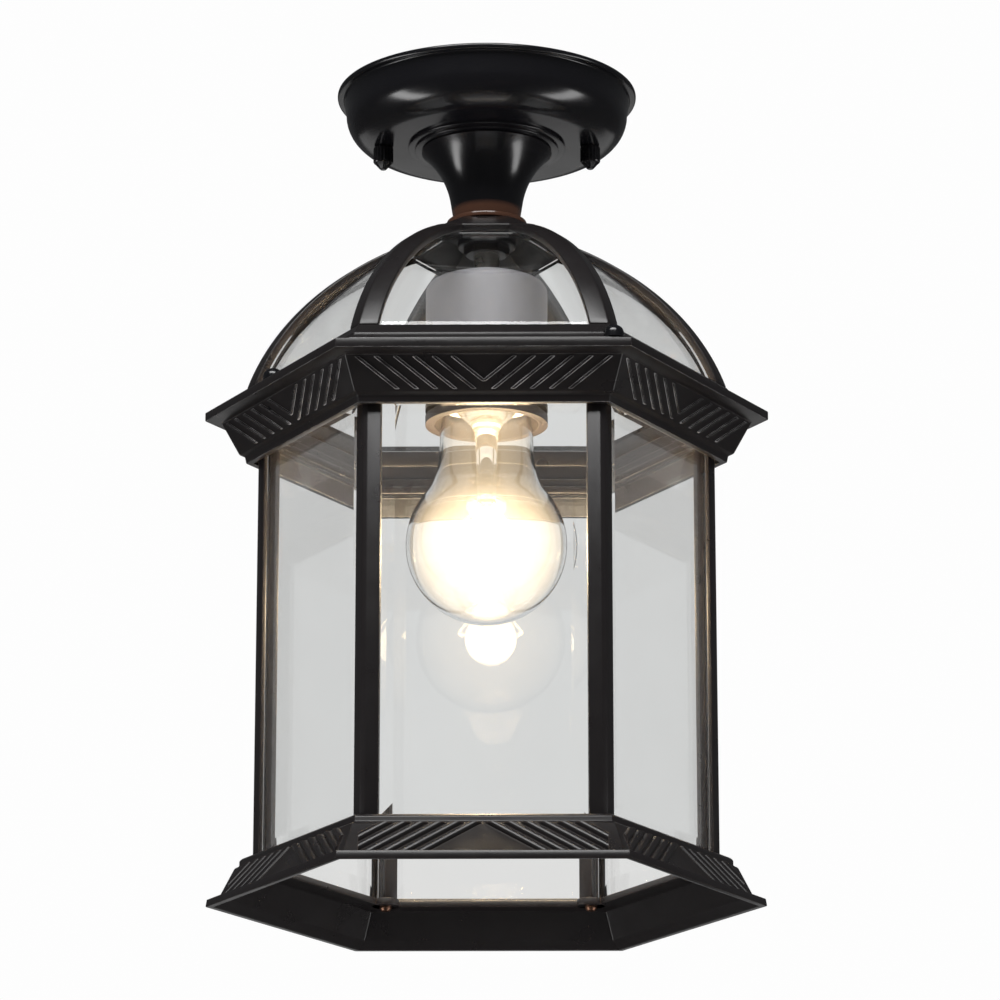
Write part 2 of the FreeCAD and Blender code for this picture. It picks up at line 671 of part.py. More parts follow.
def make_cornice():
    z_channel = z_ledge + LEDGE_THICK
    slope = (cornice_slope_top_a - cornice_slope_low_a) / CORNICE_SLOPE_HEIGHT
    channel_top_a = cornice_slope_top_a - CORNICE_WALL - CORNICE_HOLLOW_EDGE
    channel_low_a = channel_top_a - (z_slope - z_channel) * slope
    z_step = z_channel + LEDGE_STEP_HEIGHT
    ring = hex_turned([
        (dome_ring_inner_a, z_cornice), (cornice_hollow_a, z_cornice), (cornice_hollow_a, z_channel),
        (channel_low_a, z_channel), (channel_top_a, z_slope), (channel_top_a, z_cornice),
        (cornice_lip_a, z_cornice), (cornice_lip_a, z_lip), (cornice_slope_top_a, z_slope),
        (cornice_slope_low_a, z_band), (cornice_band_a, z_band - CORNICE_BAND_STEP),
        (cornice_band_low_a, z_cornice_low), (socket_a, z_cornice_low), (socket_a, z_ledge),
        (ledge_a, z_ledge), (ledge_a, z_channel), (ledge_step_a, z_channel),
        (ledge_step_a, z_step), (dome_ring_inner_a, z_step)])
    bars = [turned(bar, angle) for bar in chevron_bars() for angle in side_angles]
    bosses = dome_screw_posts(z_channel, z_cornice, DOME_SCREW_SHANK_R + DOME_SCREW_BOSS_WALL)
    ring = ring.fuse(bars + bosses + corner_discs(z_ledge, z_channel, PAD_R))
    holes = dome_screw_posts(z_channel + 1, z_cornice + 1, DOME_SCREW_SHANK_R + THREAD_GAP)
    holes += corner_discs(z_ledge - 1, z_channel + 1, SCREW_R + THREAD_GAP)
    return ring.cut(holes).removeSplitter()


# Cage

def post_point(along, depth, side):
    """A plan point of the +X post: along a face from the outer corner, and in from it."""
    x = corner_r - along * math.sin(HALF_ANGLE) - depth * math.cos(HALF_ANGLE)
    y = along * math.cos(HALF_ANGLE) - depth * math.sin(HALF_ANGLE)
    return vec(x, side * y, z_seat)


def make_post(angle):
    """A glazing post: two faces meeting at 120 degrees, a pane slot in each, a screw channel."""
    slot = PANE_THICK + 2 * PANE_GAP
    inner = POST_SKIN + slot
    profile = [(POST_CORNER_CUT, 0), (POST_FACE, 0), (POST_FACE, POST_SKIN),
               (POST_SLOT_EDGE, POST_SKIN), (POST_SLOT_EDGE, inner), (POST_BACK_EDGE, inner),
               (POST_BACK_EDGE, inner + POST_BACK)]
    upper = [post_point(along, depth, 1) for along, depth in profile]
    lower = [post_point(along, depth, -1) for along, depth in reversed(profile)]
    height = z_ledge - z_seat
    web = Part.Face(Part.makePolygon(upper + lower + upper[:1])).extrude(vec(0, 0, height))
    boss = cylinder(POST_BOSS_R, z_seat, z_ledge, boss_place)
    bore = cylinder(SCREW_R + THREAD_GAP, z_seat - 1, z_ledge + 1, boss_place)
    mouth = Part.makeBox(POST_DEPTH, POST_MOUTH, height + 2,
                         vec(boss_place - POST_DEPTH, -POST_MOUTH / 2, z_seat - 1))
    return turned(web.fuse(boss).cut([bore, mouth]).removeSplitter(), angle)


def make_side_pane(angle):
    """Flat glass in the post slots, its outer border ground to a shallow bevel."""
    outer_a = CAGE_A - POST_SKIN - PANE_GAP
    half = corner_r / 2 - POST_SLOT_EDGE - PANE_GAP
    z_low = z_seat + PANE_GAP
    z_high = z_ledge - PANE_GAP

    def rectangle(apothem, inset):
        return Part.makePolygon([vec(apothem, y, z) for y, z in (
            (-half + inset, z_low + inset), (half - inset, z_low + inset),
            (half - inset, z_high - inset), (-half + inset, z_high - inset),
            (-half + inset, z_low + inset))])
    plate = Part.Face(rectangle(outer_a - PANE_THICK, 0)).extrude(
        vec(PANE_THICK - PANE_BEVEL_DEPTH, 0, 0))
    crown = Part.makeLoft([rectangle(outer_a - PANE_BEVEL_DEPTH, 0), rectangle(outer_a, PANE_BEVEL)],
                          True, True)
    return turned(plate.fuse(crown).removeSplitter(), angle)


def make_post_screws(head_low, shank_low, shank_high):
    screws = []
    for angle in corner_angles:
        head = cylinder(SCREW_HEAD_R, head_low, head_low + SCREW_HEAD, boss_place)
        shank = cylinder(SCREW_R, shank_low, shank_high, boss_place)
        screws.append(turned(head.fuse(shank).removeSplitter(), angle))
    return Part.makeCompound(screws)


def make_upper_screws():
    seat = z_ledge + LEDGE_THICK
    return make_post_screws(seat, seat - SCREW_LENGTH, seat)


def make_lower_screws():
    seat = z_seat - BOTTOM_WALL
    return make_post_screws(seat - SCREW_HEAD, seat, seat + SCREW_LENGTH)


# Bottom ring

def reed_bars():
    """Half-round reeds on one skirt face, nested about a plain triangle with its apex up."""
    down, out, length = slope_frame(bottom_slope_top_a, bottom_slope_low_a,
                                    z_bottom_slope, z_bottom_lip)
    top = vec(bottom_slope_top_a, 0, z_bottom_slope)
    slope_angle = math.radians(REED_ANGLE)
    width = REED_PITCH * math.sin(slope_angle) * REED_FILL
    radius = (width ** 2 / 4 + REED_HEIGHT ** 2) / (2 * REED_HEIGHT)
    lean = length / math.tan(slope_angle)
    slab = Part.makeBox(4 * length, 2 * bottom_lip_a, BOTTOM_SLOPE_HEIGHT,
                        vec(bottom_slope_top_a - 2 * length, -bottom_lip_a, z_bottom_lip))
    reeds = []
    for side in (-1, 1):
        across = vec(0, side, 0)
        course = across * math.cos(slope_angle) + down * math.sin(slope_angle)
        for index in range(REED_COUNT):
            middle = top + across * ((index + 0.5) * REED_PITCH) - out * (radius - REED_HEIGHT)
            rod = Part.makeCylinder(radius, 3 * lean, middle - course * lean, course)
            reeds.append(rod.common(slab).common(reed_half(side)))
    return reeds


def reed_half(side):
    """Space in front of one half of the skirt face, a little under its surface."""
    down, out, length = slope_frame(bottom_slope_top_a, bottom_slope_low_a,
                                    z_bottom_slope, z_bottom_lip)
    top = vec(bottom_slope_top_a, 0, z_bottom_slope) - out * ROOT
    far = bottom_slope_top_a * math.tan(HALF_ANGLE) - REED_END
    plan = [top, top + vec(0, side * far, 0), top + vec(0, side * far, 0) + down * length,
            top + down * length, top]
    return Part.Face(Part.makePolygon(plan)).extrude(out * (REED_HEIGHT + 1))


def make_bottom_ring():
    z_floor = z_seat - BOTTOM_WALL
    slope = (bottom_slope_low_a - bottom_slope_top_a) / BOTTOM_SLOPE_HEIGHT
    wall_a = bottom_slope_top_a + (z_bottom_slope - z_floor) * slope - BOTTOM_WALL
    ring = hex_turned([
        (bottom_collar_a, z_bottom), (bottom_collar_foot_a, z_bottom - BOTTOM_COLLAR_BEAD),
        (bottom_collar_foot_a, z_bottom - BOTTOM_COLLAR), (bottom_slope_top_a, z_bottom_slope),
        (bottom_slope_low_a, z_bottom_lip), (bottom_lip_top_a, z_bottom_lip),
        (bottom_lip_a, z_end), (bottom_lip_a - BOTTOM_WALL, z_end),
        (bottom_slope_low_a - BOTTOM_WALL, z_bottom_lip), (wall_a, z_floor),
        (ledge_a, z_floor), (ledge_a, z_seat), (socket_a, z_seat), (socket_a, z_bottom)])
    reeds = [turned(reed, angle) for reed in reed_bars() for angle in side_angles]
    lug_out = corner_r - POST_DEPTH - GLASS_GAP
    lug_profile = [vec(lug_out, -LUG_WIDTH / 2, z_seat - ROOT),
                   vec(lug_out, LUG_WIDTH / 2, z_seat - ROOT),
                   vec(lug_out, LUG_WIDTH / 2, z_seat + LUG_HEIGHT - LUG_SLANT),
                   vec(lug_out, -LUG_WIDTH / 2, z_seat + LUG_HEIGHT)]
    lug = Part.Face(Part.makePolygon(lug_profile + lug_profile[:1])).extrude(vec(-LUG_THICK, 0, 0))
    lugs = [turned(lug, angle) for angle in LUG_CORNERS]
    pads = corner_discs(z_floor, z_seat, PAD_R)
    holes = corner_discs(z_floor - 1, z_seat + 1, SCREW_R + THREAD_GAP)
    return ring.fuse(reeds + pads + lugs).cut(holes).removeSplitter()


# Lampholder

def make_cup():
    """A drawn sleeve with a round shoulder, necked in at its mouth."""
    z_mouth = z_cup_low - CUP_NECK_LENGTH
    z_shoulder = z_cup - CUP_SHOULDER_R
    flat = CUP_R - CUP_SHOULDER_R
    corner = CUP_SHOULDER_R * math.sqrt(0.5)
    bore = TUBE_R + THREAD_GAP
    inner = CUP_R - CUP_WALL
    neck_inner = CUP_NECK_R - CUP_WALL
    z_inner = z_cup - CUP_WALL
    z_step = z_cup_low + CUP_WALL
    points = [(CUP_R, z_shoulder), (CUP_R, z_cup_low), (CUP_NECK_R, z_cup_low),
              (CUP_NECK_R, z_mouth), (neck_inner, z_mouth), (neck_inner, z_step),
              (inner, z_step), (inner, z_shoulder), (flat, z_inner), (bore, z_inner),
              (bore, z_cup), (flat, z_cup)]
    edges = [line(start, end) for start, end in zip(points, points[1:])]
    edges.append(arc((flat, z_cup), (flat + corner, z_shoulder + corner), (CUP_R, z_shoulder)))
    return revolved_edges(edges)


def make_shade_ring():
    high = z_cup_low - SHADE_RING_GROOVE
    low = z_cup_low - CUP_NECK_LENGTH
    return tube(CUP_R, CUP_NECK_R + THREAD_GAP, low, high)


def make_holder():
    body = cylinder(HOLDER_R, z_holder_low, z_holder)
    hub = cylinder(HOLDER_HUB_R, z_holder, z_holder + HOLDER_HUB_LENGTH)
    cavity = cylinder(HOLDER_CAVITY_R, z_holder_low - 1, z_holder_low + SHELL_LENGTH)
    bore = cylinder(TUBE_R + THREAD_GAP, z_holder, z_holder + HOLDER_HUB_LENGTH + 1)
    return body.fuse(hub).cut([cavity, bore]).removeSplitter()


def make_screw_shell():
    return tube(HOLDER_CAVITY_R, HOLDER_CAVITY_R - SHELL_WALL, z_holder_low,
                z_holder_low + SHELL_LENGTH)


def make_contact():
    return cylinder(CONTACT_R, z_contact, z_contact + CONTACT_THICK)


# Lamp

def flank(inset):
    """The flank's arc: where it leaves the throat, where it joins the ball, its centre, its radius."""
    angle = math.radians(LAMP_TANGENT_ANGLE)
    out = vec(math.sin(angle), 0, math.cos(angle))
    join = vec(0, 0, z_lamp_tip + LAMP_R) + out * (LAMP_R - inset)
    throat = vec(LAMP_THROAT_R - inset, 0, z_lamp_top - LAMP_THROAT_DROP)
    chord = throat - join
    radius = chord.Length ** 2 / (2 * chord.dot(out))
    return throat, join, join + out * radius, radius


def lamp_solid():
    """The pear-shaped envelope: throat, a flank that runs smoothly into the ball, and the ball."""
    centre = z_lamp_tip + LAMP_R
    throat, join, flank_centre, flank_r = flank(0)
    half = (throat + join) * 0.5 - flank_centre
    middle = flank_centre + half.normalize() * flank_r
    side = (math.radians(LAMP_TANGENT_ANGLE) + math.pi) / 2
    top = (LAMP_CAP_R, z_cap_low)
    edges = [line(top, (throat.x, throat.z)),
             arc((throat.x, throat.z), (middle.x, middle.z), (join.x, join.z)),
             arc((join.x, join.z), (LAMP_R * math.sin(side), centre + LAMP_R * math.cos(side)),
                 (0, z_lamp_tip)),
             line((0, z_lamp_tip), (0, z_cap_low)), line((0, z_cap_low), top)]
    return revolved_edges(edges)


def lamp_inside():
    """The envelope's inside, turned from short straight runs."""
    throat, join, flank_centre, flank_r = flank(LAMP_WALL)
    start, end = throat - flank_centre, join - flank_centre
    sweep = start.getAngle(end)
    points = []
    for index in range(FLANK_RUNS):
        turn = math.atan2(start.z, start.x) + sweep * index / FLANK_RUNS
        points.append((flank_centre.x + flank_r * math.cos(turn),
                       flank_centre.z + flank_r * math.sin(turn)))
    angle = math.radians(LAMP_TANGENT_ANGLE)
    radius = LAMP_R - LAMP_WALL
    for index in range(BALL_RUNS + 1):
        turn = angle + (math.pi - angle) * index / BALL_RUNS
        points.append((radius * math.sin(turn), z_lamp_tip + LAMP_R + radius * math.cos(turn)))
    cap_r = LAMP_CAP_R - LAMP_WALL
    return revolved([(0, z_cap_low + 1), (cap_r, z_cap_low + 1), (cap_r, z_cap_low)] + points)


def make_lamp_glass():
    return lamp_solid().cut(lamp_inside())


def make_lamp_cap():
    """The screw cap: a thin shell with a raised centre contact."""
    z_shoulder = z_cap_low + LAMP_CAP_SKIRT
    inner = LAMP_CAP_R - LAMP_CAP_WALL
    return revolved([(0, z_lamp_top), (LAMP_CONTACT_R, z_lamp_top),
                     (LAMP_CONTACT_R + 1, z_lamp_top - 1), (LAMP_CAP_R - 1.5, z_shoulder),
                     (LAMP_CAP_R, z_shoulder - 1), (LAMP_CAP_R, z_cap_low), (inner, z_cap_low),
                     (inner, z_shoulder - 1.5), (inner - 1.5, z_shoulder - 1),
                     (LAMP_CONTACT_R, z_lamp_top - 2), (0, z_lamp_top - 2)])


def make_lamp_stem():
    return revolved([(0, z_cap_low), (LAMP_CAP_R - LAMP_WALL - GLASS_GAP, z_cap_low),
                     (STEM_R, z_cap_low - 9), (STEM_R * 0.7, z_cap_low - STEM_LENGTH + 4),
                     (STEM_R * 0.9, z_cap_low - STEM_LENGTH), (0, z_cap_low - STEM_LENGTH)])


def make_filament():
    """A bowed filament in straight runs, with two lead wires and a middle support."""
    z_low = z_cap_low - STEM_LENGTH
    z_wire = z_low - FILAMENT_DROP
    dip = vec(0, 0, z_wire - FILAMENT_BOW)
    pieces = [cylinder(FILAMENT_R, dip.z, z_low + 1.0)]
    beads = [dip]
    for side in (-1, 1):
        foot = vec(side * STEM_R * 0.55, 0, z_low + 1.0)
        tip = vec(side * FILAMENT_SPAN, 0, z_wire)
        beads.append(tip)
        for start, end in ((foot, tip), (dip, tip)):
            pieces.append(Part.makeCylinder(FILAMENT_R, (end - start).Length, start, end - start))
    for bead in beads:
        half = vec(1, 1, 1) * FILAMENT_BEAD
        pieces.append(Part.makeBox(2 * half.x, 2 * half.y, 2 * half.z, bead - half))
    return pieces[0].fuse(pieces[1:]).cut(make_lamp_stem())


def all_nodes():
    nodes = {
        "canopy": make_canopy(),
        "box_strap": make_box_strap(),
        "canopy_strap": make_canopy_strap(),
        "strap_locknut": hex_nut(z_strap_low - NUT_THICK, NUT_THICK),
        "stem_tube": make_stem_tube(),
        "neck_collar": make_collar(),
        "neck": make_neck(),
        "neck_washer": make_neck_washer(),
        "crown": make_crown(),
        "crown_nut": hex_nut(z_boss - NUT_THICK, NUT_THICK),
        "dome_ring": make_dome_ring(),
        "cornice": make_cornice(),
        "bottom_ring": make_bottom_ring(),
        "post_screws_upper": make_upper_screws(),
        "post_screws_lower": make_lower_screws(),
        "socket_cup": make_cup(),
        "cup_nut": hex_nut(z_cup, NUT_THICK),
        "shade_ring": make_shade_ring(),
        "lampholder": make_holder(),
        "screw_shell": make_screw_shell(),
        "centre_contact": make_contact(),
        "lamp_glass": make_lamp_glass(),
        "lamp_cap": make_lamp_cap(),
        "lamp_stem": make_lamp_stem(),
        "lamp_filament": make_filament(),
    }
    for name, side in (("left", -1), ("right", 1)):
        nodes["canopy_stud_" + name] = make_stud(side)
        nodes["cap_nut_" + name] = make_cap_nut(side)
    for index in range(SIDES):
        number = str(index + 1)
        nodes["dome_rib_" + number] = make_rib(corner_angles[index])
        nodes["dome_pane_" + number] = make_dome_pane(side_angles[index])
        nodes["post_" + number] = make_post(corner_angles[index])
        nodes["side_pane_" + number] = make_side_pane(side_angles[index])
    for index, (angle, place) in enumerate(dome_screw_places):
        nodes["dome_screw_" + str(index + 1)] = make_dome_screw(angle, place)
    return nodes


os.makedirs("parts", exist_ok=True)
for node_name, node_shape in all_nodes().items():
    node_shape.exportStep("parts/" + node_name + ".step")
    print(node_name, len(node_shape.Solids), node_shape.isValid(), round(node_shape.Volume, 1))
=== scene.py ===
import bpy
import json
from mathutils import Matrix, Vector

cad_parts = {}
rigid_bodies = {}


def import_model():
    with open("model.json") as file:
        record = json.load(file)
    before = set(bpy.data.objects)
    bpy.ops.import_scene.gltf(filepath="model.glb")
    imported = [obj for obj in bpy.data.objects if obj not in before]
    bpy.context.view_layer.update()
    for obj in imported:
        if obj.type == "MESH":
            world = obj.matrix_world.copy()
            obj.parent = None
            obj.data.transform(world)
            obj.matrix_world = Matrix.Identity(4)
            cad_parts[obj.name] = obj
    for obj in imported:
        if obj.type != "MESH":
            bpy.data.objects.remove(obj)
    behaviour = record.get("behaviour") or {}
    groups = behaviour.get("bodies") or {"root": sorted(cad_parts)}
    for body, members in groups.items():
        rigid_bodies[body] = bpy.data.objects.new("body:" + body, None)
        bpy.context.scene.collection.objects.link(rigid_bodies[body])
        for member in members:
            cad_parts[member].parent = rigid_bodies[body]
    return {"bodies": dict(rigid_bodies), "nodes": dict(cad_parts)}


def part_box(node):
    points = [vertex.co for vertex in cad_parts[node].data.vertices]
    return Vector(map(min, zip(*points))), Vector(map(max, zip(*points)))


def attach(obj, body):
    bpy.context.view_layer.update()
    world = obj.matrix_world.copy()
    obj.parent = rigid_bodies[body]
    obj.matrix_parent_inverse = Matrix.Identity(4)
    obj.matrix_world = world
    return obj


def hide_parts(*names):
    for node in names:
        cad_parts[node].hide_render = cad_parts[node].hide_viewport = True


bl_info = {
    "name": "Porch Ceiling Lantern",
    "version": (1, 0, 0),
    "blender": (4, 5, 0),
    "location": "3D View > Sidebar > Lantern",
    "description": "Dresses the packed lantern: cast frame, glass, lampholder and lamp",
    "category": "Object",
}

import json
import math

import bmesh
import bpy
from mathutils import Matrix, Vector
from mathutils.geometry import interpolate_bezier

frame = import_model()

SIDES = 6
SIDE_TURN = 60.0
MITRE = math.pi / SIDES
TO_CORNER = 1 / math.cos(MITRE)
ARC_HANDLE = 0.5523
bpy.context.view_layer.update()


def low(node):
    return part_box(node)[0]


def high(node):
    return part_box(node)[1]


# Heights and reaches that the frame already has

Z_CANOPY = low("canopy").z
Z_COLLAR = low("neck_collar").z
Z_NECK = low("neck").z
Z_CROWN = high("crown").z
Z_RING_TOP = high("dome_ring").z
Z_CORNICE = high("cornice").z
Z_CORNICE_LOW = low("cornice").z
Z_POST_TOP = high("post_1").z
Z_SEAT = low("post_1").z
Z_END = low("bottom_ring").z
Z_LAMP_TOP = high("lamp_cap").z
Z_LAMP_TIP = low("lamp_glass").z
Z_CAP_LOW = low("lamp_cap").z
Z_CUP_MOUTH = low("socket_cup").z
NUT_PLACE = (high("cap_nut_right").x + low("cap_nut_right").x) / 2

# Sizes that several pieces share

STEM_BORE = 0.00495
CAGE_CORNER = 0.0745 * TO_CORNER
RING_BORE = 0.073
LEDGE = 0.0685
POST_SOCKET = 0.0757


# Sizes that a user may change

def length(name, default, description):
    return bpy.props.FloatProperty(name=name, default=default, description=description,
                                   unit="LENGTH", precision=4)


def colour(name, default, description):
    return bpy.props.FloatVectorProperty(name=name, default=default, description=description,
                                         subtype="COLOR", size=3, min=0.0, max=1.0)


def share(name, default, description):
    return bpy.props.FloatProperty(name=name, default=default, description=description,
                                   subtype="FACTOR", min=0.0, max=1.0)


def amount(name, default, description):
    return bpy.props.FloatProperty(name=name, default=default, description=description)


def count(name, default, description):
    return bpy.props.IntProperty(name=name, default=default, description=description, min=1)


class LanternFinishes(bpy.types.PropertyGroup):
    satin: colour("Satin black", (0.0115, 0.0098, 0.0101), "Cast frame")
    gloss: colour("Gloss black", (0.005, 0.005, 0.0062), "Canopy and neck")
    # Edge colour of the satin and gloss black: thinned paint, partly a painted edge highlight.
    edge_wear_and_highlight: colour("Edge wear and highlight", (0.085, 0.062, 0.05), "Paint thinned on the edges")
    # Near-white painted highlight along the cornice's raised lines and mitres.
    painted_edge_highlight: colour("Painted edge highlight", (0.8, 0.78, 0.78), "Cornice lines and mitres")
    bronze: colour("Bronze tint", (0.085, 0.038, 0.023), "Brown cast at the neck's foot")
    cup: colour("Cup grey", (0.165, 0.161, 0.171), "Sleeve over the lampholder")
    # Darker brown on the sleeve's outside, near the lamp.
    dark_brown: colour("Dark brown", (0.022, 0.015, 0.011), "Sleeve's outside near the lamp")
    steel: colour("Plated steel", (0.55, 0.53, 0.5), "Screws and straps")
    brass: colour("Brass", (0.72, 0.5, 0.2), "Contact and screw shell")
    ceramic: colour("Ceramic", (0.82, 0.8, 0.75), "Lampholder body")
    glass: colour("Clear glass", (0.95, 0.962, 0.965), "Flat and curved panes")
    lamp_light: colour("Lamp light", (1.0, 0.75, 0.46), "Colour of the lit filament")
    satin_roughness: share("Satin roughness", 0.31, "Cast frame")
    gloss_roughness: share("Gloss roughness", 0.19, "Canopy and neck")
    filament_strength: amount("Filament strength", 60.0, "Glow of the lit wire")


class CanopySizes(bpy.types.PropertyGroup):
    rim: length("Rim radius", high("canopy").x, "Outside of the rolled rim")
    body: length("Body radius", 0.0546, "Side under the rim")
    shoulder: length("Shoulder radius", 0.0537, "Where the side turns under")
    shoulder_drop: length("Shoulder drop", 0.0082, "Height of the side")
    flat: length("Flat radius", 0.0406, "Edge of the flat underside")
    wall: length("Wall", 0.0012, "Sheet thickness")
    nut: length("Cap nut radius", 0.0038, "Over the knurl")
    nut_tip: length("Tip radius", 0.00135, "End of the faceted point")


class NeckSizes(bpy.types.PropertyGroup):
    collar: length("Collar radius", high("neck_collar").x, "Wider step under the canopy")
    step: length("Step radius", 0.0274, "Narrower step")
    lip: length("Lip radius", high("neck").x, "Top of the flare")
    waist: length("Waist radius", 0.0137, "Where the flare ends")
    base: length("Base radius", 0.0125, "Foot of the neck")
    washer: length("Washer radius", high("neck_washer").x, "Disc under the neck")


class DomeSizes(bpy.types.PropertyGroup):
    arc: length("Arc radius", 0.089, "Section through a flat side")
    arc_inset: length("Arc centre", -0.0068, "Apothem of the arc's centre")
    arc_drop: length("Arc centre drop", 0.09, "Below the crown's top")
    crown_top: length("Crown top", 0.014, "Apothem of the flat top")
    crown_rim: length("Crown rim", 0.0269, "Apothem where the ribs begin")
    flange: length("Rib flange", 0.0072, "Width of each side of a rib")
    thickness: length("Rib thickness", 0.003, "Also the crown's")
    edge: length("Rib edge", 0.0007, "Rounding along the ribs")
    screw: length("Screw head radius", 0.0037, "Tall round heads on the ring")
    screw_head: length("Screw head height", 0.005, "From its seat")


class CorniceSizes(bpy.types.PropertyGroup):
    lip: length("Lip", high("cornice").y, "Apothem of the widest edge")
    lip_height: length("Lip height", 0.0034, "Upright edge")
    slope_top: length("Slope top", 0.0862, "Apothem under the lip")
    slope_low: length("Slope foot", 0.0804, "Apothem above the band")
    slope_height: length("Slope height", 0.0122, "Patterned face")
    band: length("Band", 0.0786, "Apothem of the lower band")
    line: length("Line width", 0.0009, "Raised lines")
    line_height: length("Line height", 0.0006, "Raised lines")
    pitch: length("Line pitch", 0.0069, "Along the face")
    angle: amount("Line angle", 39.0, "Degrees from level")
    lines: count("Lines", 6, "On each half of a face")
    edge: length("Edge", 0.0004, "Rounding of the casting")


class CageSizes(bpy.types.PropertyGroup):
    face: length("Post face", 0.006, "From the corner along a side")
    skin: length("Post skin", 0.0016, "In front of the glass")
    slot: length("Pane slot", 0.0027, "Room for the glass")
    slot_edge: length("Slot edge", 0.0039, "How far the slot reaches")
    back_edge: length("Back edge", 0.0053, "Inner flange")
    back: length("Back", 0.0018, "Thickness behind the glass")
    cut: length("Corner cut", 0.0012, "Flat on the outer corner")
    boss: length("Screw channel radius", 0.0024, "Inside the corner")
    depth: length("Depth", 0.0104, "From the corner to the channel's back")
    screw: length("Screw radius", 0.00115, "Post screws")
    edge: length("Edge", 0.0003, "Rounding of the section")


class BottomRingSizes(bpy.types.PropertyGroup):
    collar: length("Collar", 0.0773, "Apothem of the top")
    foot: length("Collar foot", 0.0784, "Apothem under the bead")
    slope_top: length("Skirt top", 0.0799, "Apothem")
    slope_low: length("Skirt foot", 0.085, "Apothem")
    slope_height: length("Skirt height", 0.0114, "Reeded face")
    lip: length("Lip", high("bottom_ring").y, "Apothem of the widest edge")
    lip_height: length("Lip height", 0.0029, "Lowest edge")
    pitch: length("Reed pitch", 0.0062, "Along the face")
    height: length("Reed height", 0.001, "Above the skirt")
    angle: amount("Reed angle", 33.0, "Degrees from level")
    reeds: count("Reeds", 6, "On each half of a face")
    edge: length("Edge", 0.0004, "Rounding of the casting")


class LampSizes(bpy.types.PropertyGroup):
    envelope: length("Envelope radius", high("lamp_glass").x, "Widest part")
    wall: length("Wall", 0.0009, "Glass thickness")
    cap: length("Cap radius", 0.0131, "Over the thread")
    throat: length("Throat radius", 0.0166, "Below the cap")
    throat_drop: length("Throat drop", 0.0281, "From the lamp's top")
    thread_pitch: length("Thread pitch", 0.0036, "Screw cap")
    # Painted glare: emitting air inside the lamp that stands in for the lit lamp's glare.
    glare_reach: length("Glare radius", 0.0288, "Reach of the bright air inside the lamp")
    glare_strength: amount("Glare strength", 48.0, "Of the air at the lamp's centre")
    glare_veil: amount("Veil", 15.0, "Of the air all through the lamp")
    power: amount("Lamp power", 0.75, "Watts of the lamp's light")


class StageSizes(bpy.types.PropertyGroup):
    lens: amount("Lens", 170.07, "Millimetres on a 36 mm sensor")
    place: bpy.props.FloatVectorProperty(name="Camera place", size=3, subtype="TRANSLATION",
                                         default=(0.02083, -1.6987, -0.64606),
                                         description="Where the camera stands")
    pitch: amount("Camera pitch", 15.946, "Degrees above level")
    yaw: amount("Camera yaw", 0.532, "Degrees to the left")
    floor: length("Floor", -1.5, "Height of the floor")


PROPERTY_GROUPS = (
    ("lantern_finishes", LanternFinishes), ("lantern_canopy", CanopySizes),
    ("lantern_neck", NeckSizes), ("lantern_dome", DomeSizes),
    ("lantern_cornice", CorniceSizes), ("lantern_cage", CageSizes),
    ("lantern_bottom", BottomRingSizes), ("lantern_lamp", LampSizes),
    ("lantern_stage", StageSizes),
)


# Mesh helpers

def turn(degrees):
    return Matrix.Rotation(math.radians(degrees), 4, "Z")


def bend(start, corner, end, points=7):
    """Points of a quarter turn from start to end that would meet at corner."""
    first, through, last = (Vector((p[0], 0, p[1])) for p in (start, corner, end))
    curve = interpolate_bezier(first, first.lerp(through, ARC_HANDLE),
                               last.lerp(through, ARC_HANDLE), last, points)
    return [(p.x, p.z) for p in curve]


def sweep(start, start_handle, end_handle, end, points=12):
    """Points of a free curve with its two handles."""
    ends = [Vector((p[0], 0, p[1])) for p in (start, start_handle, end_handle, end)]
    return [(p.x, p.z) for p in interpolate_bezier(*ends, points)]


def spun(bm, outline, steps, closed=True):
    """Turns an outline of (radius, height) about an upright axis."""
    verts = [bm.verts.new((r, 0, z)) for r, z in outline]
    pairs = list(zip(verts, verts[1:] + verts[:1])) if closed else list(zip(verts, verts[1:]))
    edges = [bm.edges.new(pair) for pair in pairs]
    bmesh.ops.spin(bm, geom=verts + edges, cent=(0, 0, 0), axis=(0, 0, 1), dvec=(0, 0, 0),
                   angle=2 * math.pi, steps=steps, use_merge=True)
    bmesh.ops.remove_doubles(bm, verts=bm.verts[:], dist=1e-7)


def six_sided(bm, outline):
    """A mitred six-sided ring from a closed outline of (apothem, height)."""
    spun(bm, [(a * TO_CORNER, z) for a, z in outline], SIDES)


def soften(bm, width, segments=2, least=20.0):
    """Rounds the edges that are sharper than least degrees."""
    bmesh.ops.recalc_face_normals(bm, faces=bm.faces[:])
    limit = math.radians(least)
    edges = [e for e in bm.edges if e.is_manifold and e.calc_face_angle(0.0) > limit]
    bmesh.ops.bevel(bm, geom=edges, offset=width, offset_type="OFFSET", segments=segments,
                    profile=0.5, affect="EDGES", material=-1, clamp_overlap=True)


def prism(bm, plan, shift):
    """A solid from a flat outline of 3-D points, pushed along shift."""
    face = bm.faces.new([bm.verts.new(p) for p in plan])
    pushed = bmesh.ops.extrude_face_region(bm, geom=[face], use_keep_orig=True)
    moved = [g for g in pushed["geom"] if isinstance(g, bmesh.types.BMVert)]
    bmesh.ops.translate(bm, vec=shift, verts=moved)


def join(bm, other):
    """Adds one mesh to another and frees it."""
    held = bpy.data.meshes.new("held")
    bmesh.ops.recalc_face_normals(other, faces=other.faces[:])
    other.to_mesh(held)
    other.free()
    bm.from_mesh(held)
    bpy.data.meshes.remove(held)


def everything(bm):
    return bm.verts[:] + bm.edges[:] + bm.faces[:]


